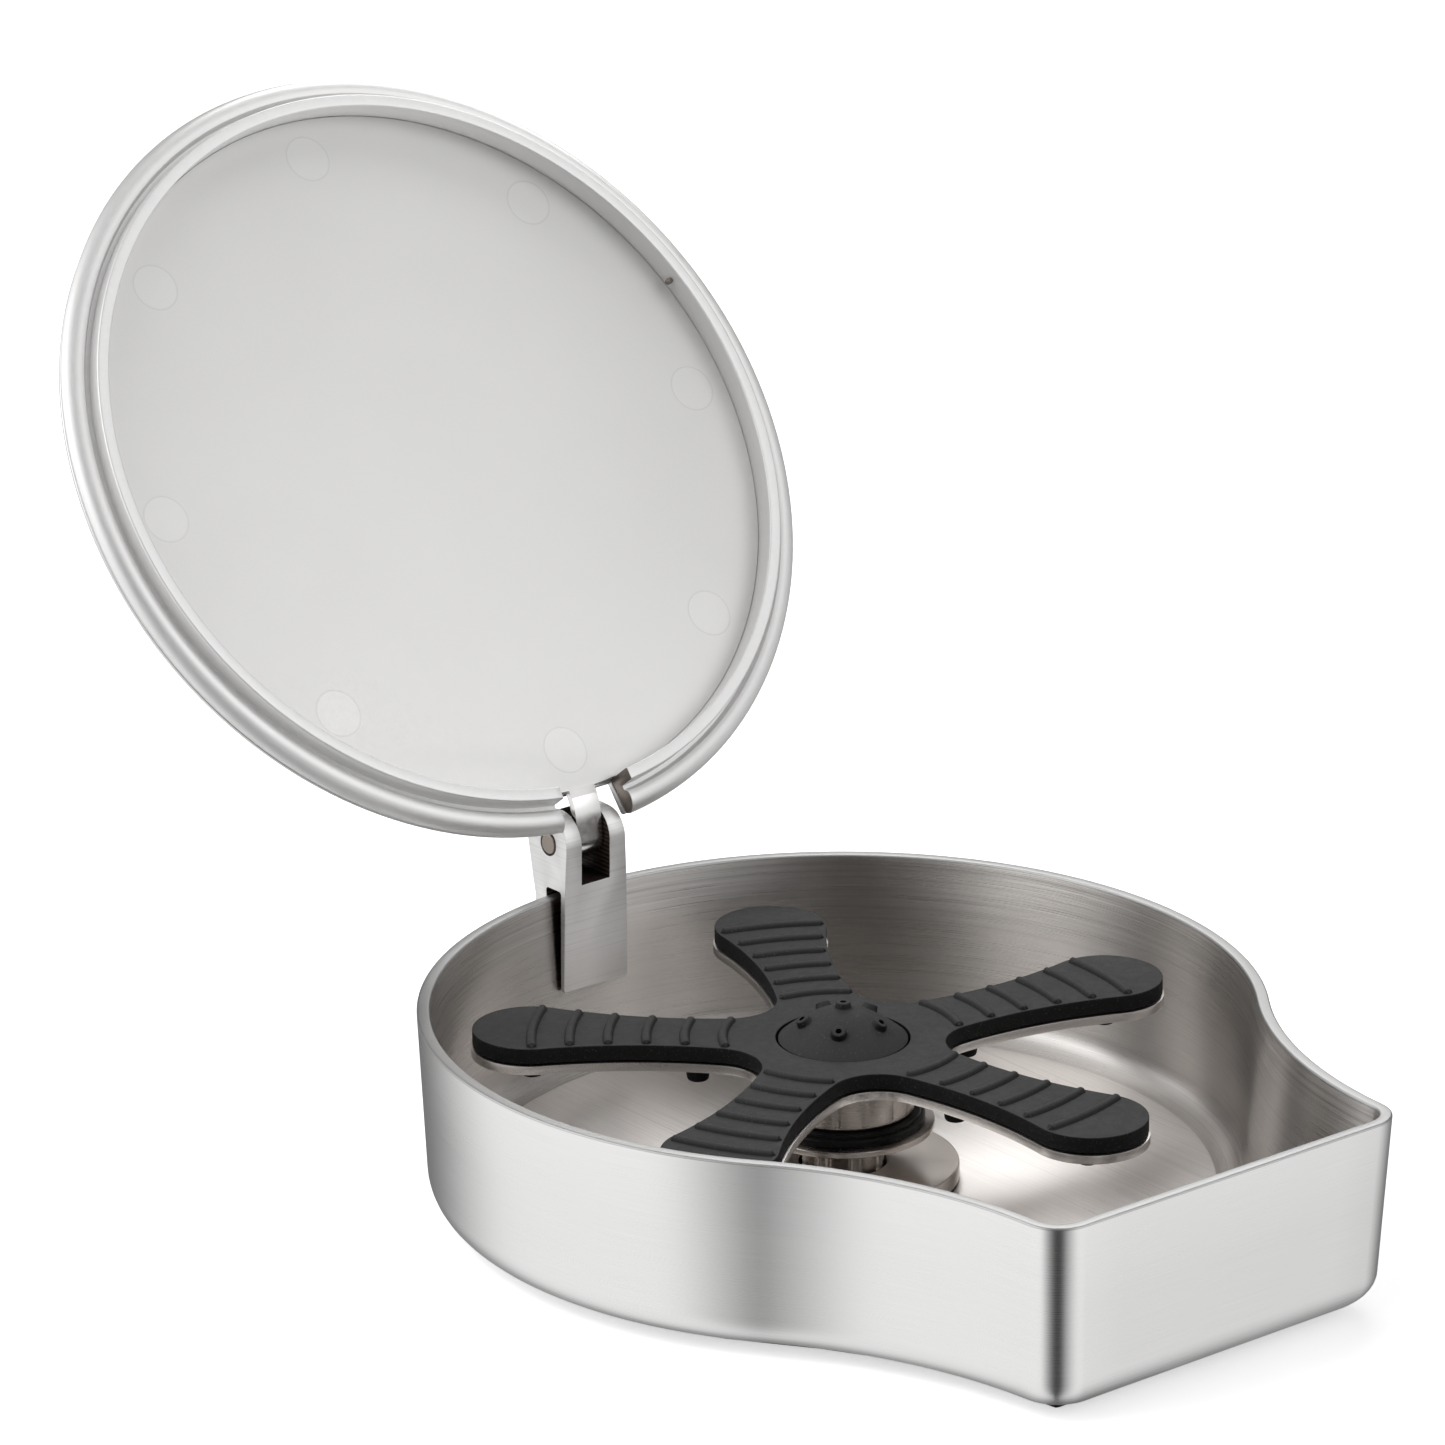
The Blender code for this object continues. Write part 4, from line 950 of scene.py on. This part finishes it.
def bracket_front():
    """Front view (x, z): a little wider at the foot, with round feet and rounded ears."""
    right = [(6.9, BRACKET_FOOT, 1.0), (BRACKET_HALF_WIDTH, 36.0), (6.35, 43.5), (5.9, 48.4, 2.2)]
    left = [(-corner[0], *corner[1:]) for corner in reversed(right)]
    return rounded(left[-1:] + right + left[:-1], 6)


def build_bracket(look):
    """An upside-down U over the basin's wall, with a fork for the lid's strap."""
    slope = wall_inset(BRACKET_FOOT)
    corners = [
        (65.0, BRACKET_FOOT, 0.55),
        (SLOT_Y[0], BRACKET_FOOT, 0.25),
        (SLOT_Y[0], SLOT_TOP, 0.55),
        (SLOT_Y[1], SLOT_TOP, 0.55),
        (SLOT_Y[1] - slope, BRACKET_FOOT, 0.25),
        (73.2, BRACKET_FOOT, 0.8),
        (73.2, 33.0),
    ]
    outline = rounded(corners, 6) + arc((70.3, HINGE.z), 5.3, 0, math.pi, 40)
    bracket = side_slab("hinge_bracket_block", outline, BRACKET_HALF_WIDTH + 1)
    front = slab("bracket_front", [bracket_front()], -80, -60)
    front.data.transform(Matrix.Rotation(math.pi / 2, 4, "X"))
    combine(bracket, [front], "INTERSECT")
    soften(bracket, 0.22, 3, 60)
    reach = BRACKET_HALF_WIDTH + 1
    cutters = [
        block("pocket", (-FORK_HALF_WIDTH, 60, FORK_FLOOR), (FORK_HALF_WIDTH, FORK_BACK, 53)),
        rod("pin_hole", 2.1, (-reach, HINGE.y, HINGE.z), (reach, HINGE.y, HINGE.z), 48),
    ]
    for height in SCREW_HEIGHTS:
        cutters.append(rod("screw_hole", 1.8, (0, 68.5, height), (0, 74.2, height), 32))
    combine(bracket, cutters, "DIFFERENCE")
    bracket.data.materials.append(look["bracket"])
    bracket.data.materials.append(look["pocket"])
    # Painted shade: the fork's inside and the slot's faces take the dark pocket material.
    for face in bracket.data.polygons:
        middle = face.center / MM
        in_width = abs(middle.x) < FORK_HALF_WIDTH + 0.05 and middle.y < FORK_BACK + 0.05
        in_fork = in_width and FORK_FLOOR - 0.05 < middle.z < 47.5
        in_slot = 66.0 < middle.y < 70.4 and middle.z < 35.5 and abs(face.normal.x) < 0.5
        if in_slot or in_fork:
            face.material_index = 1
    soften(bracket, 0.12, 2, 60)
    dress(bracket, "fixture", None, "brushed_steel", "hinge_bracket")
    pin_profile = rounded([(0, -6.5), (1.8, -6.5, 0.3), (1.8, 6.5, 0.3), (0, 6.5)])
    pin = turned("hinge_pin_rod", pin_profile, 48)
    pin.matrix_world = Matrix.Translation(HINGE * MM) @ Matrix.Rotation(math.pi / 2, 4, "Y")
    dress(pin, "fixture", look["pin"], "plain_steel", "hinge_pin")


# ---- Lid ----


def lid_matrix():
    """From the closed lid's coordinates to its open place."""
    hinge = Matrix.Translation(HINGE * MM)
    return hinge @ Matrix.Rotation(-LID_OPENING, 4, "X") @ hinge.inverted()


def notch(name, floor):
    return block(name, (-NOTCH_HALF_WIDTH, floor, 25), (NOTCH_HALF_WIDTH, LID_RADIUS + 5, 45))


def build_lid_ring(look):
    """A lip that enters the basin, a narrow channel, and a convex band that rests on the rim."""
    band = arc((68.2, 37.0), 2.55, math.radians(-110), math.radians(-12), 12)
    corners = [(63.8, 32.2, 0.3), (66.0, 32.2, 0.35), (66.0, 35.5, 0.1), (66.75, 35.5, 0.1)]
    corners += band + [(70.3, 37.6, 0.2), (63.8, 37.6)]
    ring = turned("lid_ring_band", rounded(corners, 5), 192)
    combine(ring, [notch("ring_notch", 60.0)], "DIFFERENCE")
    ring.data.materials.clear()
    ring.data.materials.append(look["ring"])
    ring.data.materials.append(look["pin"])
    # Painted shade: the notch's cut faces take the dark pin steel.
    for face in ring.data.polygons:
        by_notch = abs(face.center.x) < (NOTCH_HALF_WIDTH + 0.1) * MM and face.center.y > 0
        if by_notch and abs(face.normal.x) > 0.95:
            face.material_index = 1
    soften(ring, 0.15, 2, 60)
    ring.matrix_world = lid_matrix()
    dress(ring, "lid", None, "satin_steel", "lid_ring")
    nub_profile = rounded([(0, 1.0), (0.55, 1.0, 0.4), (0.55, -0.6), (0, -0.6)])
    x, y = turn_point((63.6, 0), math.radians(-18))
    inwards = Vector((-x, -y, 0)).normalized()
    turn = inwards.to_track_quat("Z", "X").to_matrix().to_4x4()
    nub = turned("lid_wall_nub", nub_profile, 24)
    nub.matrix_world = lid_matrix() @ Matrix.Translation(Vector((x, y, 34.6)) * MM) @ turn
    dress(nub, "lid", look["pin"], "satin_steel")


def build_lid_cover(look):
    low, high = COVER_Z
    profile = rounded([(0, low), (70.2, low, 0.3), (70.1, high, 0.85), (0, high)], 8)
    cover = turned("lid_cover_sheet", profile, 192)
    combine(cover, [notch("cover_notch", 63.8)], "DIFFERENCE")
    soften(cover, 0.15, 2, 60)
    cover.matrix_world = lid_matrix()
    dress(cover, "lid", look["cover"], "brushed_steel", "lid_cover")


def strap_path():
    """Middle line (y, z) of the strap: out of the panel, round the pin and up into the stop tail."""
    middle = (PANEL_Z[0] + PANEL_Z[1]) / 2
    knuckle = [Vector(p) for p in arc(HINGE.yz, KNUCKLE_RADIUS, KNUCKLE_START, LID_OPENING, 48)]
    bend = Vector((PANEL_RADIUS - 0.5, middle))
    heading = Vector((-math.sin(KNUCKLE_START), math.cos(KNUCKLE_START)))
    reach = (knuckle[0] - bend).length * 0.42
    points = [Vector((PANEL_RADIUS - 5, middle))]
    for i in range(16):
        t = i / 16
        curve = bend * (1 - t) ** 3 + (bend + Vector((reach, 0))) * 3 * t * (1 - t) ** 2
        points.append(curve + (knuckle[0] - heading * reach) * 3 * t**2 * (1 - t) + knuckle[0] * t**3)
    tail = Vector((-math.sin(LID_OPENING), math.cos(LID_OPENING)))
    return points + knuckle + [knuckle[-1] + tail * 2.6]


def offset_path(path, distance):
    moved = []
    for i, point in enumerate(path):
        along = (path[min(i + 1, len(path) - 1)] - path[max(i - 1, 0)]).normalized()
        moved.append(tuple(point + Vector((-along.y, along.x)) * distance))
    return moved


def build_lid_panel(look):
    """The inner sheet and the strap that leaves it through the notch and curls round the pin."""
    panel = slab("lid_panel_sheet", [circle((0, 0), PANEL_RADIUS + 0.22, 192)], *PANEL_Z)
    path = strap_path()
    half = (PANEL_Z[1] - PANEL_Z[0]) / 2
    outline = offset_path(path, -half) + offset_path(path, half)[::-1]
    combine(panel, [side_slab("lid_strap", outline, 2.7)], "UNION")
    panel.data.materials.clear()
    panel.data.materials.append(look["panel"])
    panel.data.materials.append(look["strap"])
    for face in panel.data.polygons:
        if face.center.y > (PANEL_RADIUS + 1.5) * MM and abs(face.center.x) < 3 * MM:
            face.material_index = 1
    soften(panel, 0.14, 3, 60)
    panel.matrix_world = lid_matrix()
    dress(panel, "lid", None, "satin_steel", "lid_panel")


# ---- Carried-over nodes ----


def spring_rise(turn, closed, pitch):
    """Height of the coil's middle line above its start: one closed turn at each end."""
    rise = min(turn, 1) * closed + min(max(turn - 1, 0), SPRING_TURNS - 2) * pitch
    return rise + max(turn - SPRING_TURNS + 1, 0) * closed


def build_spring(look):
    """The return spring: its foot sits in the body and its head under the plunger, as one still coil."""
    low, high = SPRING_Z[0] + SPRING_WIRE / 2, SPRING_Z[1] - SPRING_WIRE / 2
    closed = SPRING_WIRE + SPRING_GAP
    pitch = (high - low - 2 * closed) / (SPRING_TURNS - 2)
    coil = bpy.data.curves.new("return_spring_coil", "CURVE")
    coil.dimensions = "3D"
    coil.bevel_depth = SPRING_WIRE / 2
    coil.bevel_resolution = 3
    coil.use_fill_caps = True
    path = coil.splines.new("POLY")
    path.points.add(SPRING_TURNS * SPRING_STEPS)
    for i, point in enumerate(path.points):
        turn = i / SPRING_STEPS
        x, y = turn_point((SPRING_RADIUS, 0), 2 * math.pi * turn)
        point.co = (x, y, low + spring_rise(turn, closed, pitch), 1)
    bent = bpy.data.objects.new("return_spring_path", coil)
    bpy.context.scene.collection.objects.link(bent)
    mesh = bpy.data.meshes.new_from_object(bent.evaluated_get(bpy.context.evaluated_depsgraph_get()))
    bpy.data.objects.remove(bent)
    spring = add_object("return_spring_coil", mesh)
    spring.data.materials.clear()
    spring.data.materials.append(look["hardware"])
    spring.data.shade_smooth()
    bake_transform(spring)
    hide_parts("return_spring")


def paint_cad_nodes(look):
    """The hidden hardware keeps its CAD shape and takes a procedural material by its slot."""
    by_slot = {
        "brushed_steel": "cover",
        "satin_steel": "ring",
        "plain_steel": "hardware",
        "nickel_plated_brass": "nickel",
        "black_rubber": "rubber",
        "seal_rubber": "seal",
    }
    slots = {part["node"]: part["material_slot"] for part in frame["record"]["subparts"]}
    for name, node in frame["nodes"].items():
        if not node.hide_render:
            node.data.materials.clear()
            node.data.materials.append(look[by_slot[slots[name]]])


# ---- Stage ----


def build_floor():
    nodes = MaterialNodes("worktop_white")
    grain = nodes.noise(nodes.place("Object", (40, 40, 40)), 3.0)
    nodes.set(
        Base_Color=nodes.blend(nodes.remap(grain, 0, 1), (0.90, 0.90, 0.90), (0.92, 0.92, 0.92)),
        Roughness=0.9,
        Emission_Color=(1, 1, 1, 1),
        Emission_Strength=0.45,
    )
    shape = bmesh.new()
    bmesh.ops.create_circle(shape, cap_ends=True, segments=96, radius=6000)
    floor = from_bmesh("floor", shape)
    floor.data.materials.append(nodes.material)
    floor.visible_glossy = False


# Brightness of the surround round the horizon, by compass angle from +X towards +Y
SOFT_BOXES = [
    (-180, 1.08),
    (-166, 0.66),
    (-151, 0.27),
    (-138, 0.05),
    (-120, 0.05),
    (-107, 0.40),
    (-90, 0.72),
    (-75, 0.96),
    (-55, 1.00),
    (-40, 0.82),
    (-15, 0.46),
    (5, 0.27),
    (30, 0.17),
    (62, 0.15),
    (80, 0.20),
    (92, 0.38),
    (104, 0.68),
    (118, 0.92),
    (140, 1.30),
    (160, 1.44),
    (180, 1.08),
]
OVERHEAD = 0.48
REFLECTED_STRENGTH = 1.0
PLAIN_STRENGTH = 1.02
# The upper surround has more contrast: the level to this power, times this
CONTRAST = 2.1
CONTRAST_GAIN = 2.0


def soft_box_ramp(nodes):
    """The surround's brightness round the horizon."""
    boxes = nodes.add("ValToRGB")
    ramp = boxes.color_ramp
    ramp.interpolation = "B_SPLINE"
    for stop in ramp.elements:
        stop.color = (SOFT_BOXES[0][1],) * 3 + (1,)
    for degrees, level in SOFT_BOXES[1:-1]:
        stop = ramp.elements.new((degrees + 180) / 360)
        stop.color = (level, level, level, 1)
    return boxes


def surround(nodes):
    """Soft boxes and dark gaps round the horizon, more contrasted higher up, under a bright ceiling."""
    direction = nodes.add("SeparateXYZ")
    nodes.join(nodes.add("TexCoord").outputs["Generated"], direction.inputs[0])
    azimuth = nodes.maths("ARCTAN2", direction.outputs["Y"], direction.outputs["X"])
    boxes = soft_box_ramp(nodes)
    nodes.join(nodes.remap(azimuth, 0, 1, (-math.pi, math.pi)), boxes.inputs["Fac"])
    low = boxes.outputs["Color"]
    high = nodes.maths("MULTIPLY", nodes.maths("POWER", low, CONTRAST), CONTRAST_GAIN)
    sides = nodes.add("Mix", data_type="FLOAT")
    sockets = [socket for socket in sides.inputs if socket.type == "VALUE"]
    lift = nodes.remap(direction.outputs["Z"], 0, 1, (0.05, 0.45))
    for source, socket in zip((lift, low, high), sockets):
        nodes.join(source, socket)
    height = nodes.add("ValToRGB")
    height.color_ramp.interpolation = "EASE"
    height.color_ramp.elements[0].position = 0.62
    height.color_ramp.elements[1].position = 0.97
    nodes.join(direction.outputs["Z"], height.inputs["Fac"])
    level = next(socket for socket in sides.outputs if socket.type == "VALUE")
    return nodes.blend(height.outputs["Color"], level, (OVERHEAD, OVERHEAD, OVERHEAD))


def build_world():
    """The surround lights the piece, and the camera sees plain white past it."""
    world = bpy.data.worlds.new("studio")
    bpy.context.scene.world = world
    world.use_nodes = True
    world.node_tree.nodes.clear()
    nodes = Nodes(world.node_tree)
    reflected = nodes.add("Background", Strength=REFLECTED_STRENGTH)
    nodes.join(surround(nodes), reflected.inputs["Color"])
    plain = nodes.add("Background", Color=(1, 1, 1, 1), Strength=PLAIN_STRENGTH)
    chooser = nodes.add("MixShader")
    nodes.join(nodes.add("LightPath").outputs["Is Camera Ray"], chooser.inputs["Fac"])
    nodes.join(reflected.outputs[0], chooser.inputs[1])
    nodes.join(plain.outputs[0], chooser.inputs[2])
    nodes.join(chooser.outputs[0], nodes.add("OutputWorld").inputs["Surface"])


def soft_box(name, place, target, width, height, energy):
    lamp = bpy.data.lights.new(name, "AREA")
    lamp.shape = "RECTANGLE"
    lamp.size = width
    lamp.size_y = height
    lamp.energy = energy
    item = bpy.data.objects.new(name, lamp)
    bpy.context.scene.collection.objects.link(item)
    item.location = place
    item.rotation_euler = (Vector(target) - item.location).to_track_quat("-Z", "Y").to_euler()
    return item


def build_lights():
    """A broad box overhead for the matte pieces, and one behind that glows along the basin's floor."""
    overhead = soft_box("soft_box_overhead", (-0.5, 0.35, 1.1), (0, 0, 0.03), 0.8, 0.6, 6.0)
    overhead.visible_glossy = False
    soft_box("soft_box_behind", (0.36, 0.32, 0.42), (0.02, -0.04, 0), 0.4, 0.3, 1.05)


def build_camera():
    """A long lens from the front left, a little above the basin."""
    azimuth, elevation, roll = (math.radians(angle) for angle in CAMERA_ANGLES)
    right = Vector((math.cos(azimuth), math.sin(azimuth), 0))
    back = Vector(
        (
            math.sin(azimuth) * math.cos(elevation),
            -math.cos(azimuth) * math.cos(elevation),
            math.sin(elevation),
        )
    )
    up = back.cross(right)
    rolled_right = right * math.cos(roll) + up * math.sin(roll)
    rolled_up = up * math.cos(roll) - right * math.sin(roll)
    rim_centre = Vector((0, 0, RIM_Z * MM))
    sideways, upwards, backwards = CAMERA_SHIFT
    place = rim_centre + rolled_right * sideways + rolled_up * upwards + back * backwards
    data = bpy.data.cameras.new("camera")
    data.sensor_width = 36
    data.lens = CAMERA_LENS
    data.clip_end = 50
    camera = bpy.data.objects.new("camera", data)
    bpy.context.scene.collection.objects.link(camera)
    axes = Matrix((rolled_right, rolled_up, back)).transposed().to_4x4()
    camera.matrix_world = Matrix.Translation(place) @ axes
    bpy.context.scene.camera = camera


def build_scene():
    build_camera()
    look = build_materials()
    build_basin(look)
    build_star(look)
    build_dome(look)
    build_hub(look)
    build_plunger(look)
    build_valve_body(look)
    build_drain(look)
    build_bracket(look)
    build_lid_ring(look)
    build_lid_cover(look)
    build_lid_panel(look)
    build_spring(look)
    paint_cad_nodes(look)
    build_floor()
    build_world()
    build_lights()
    bpy.context.scene.view_settings.view_transform = "Standard"


build_scene()
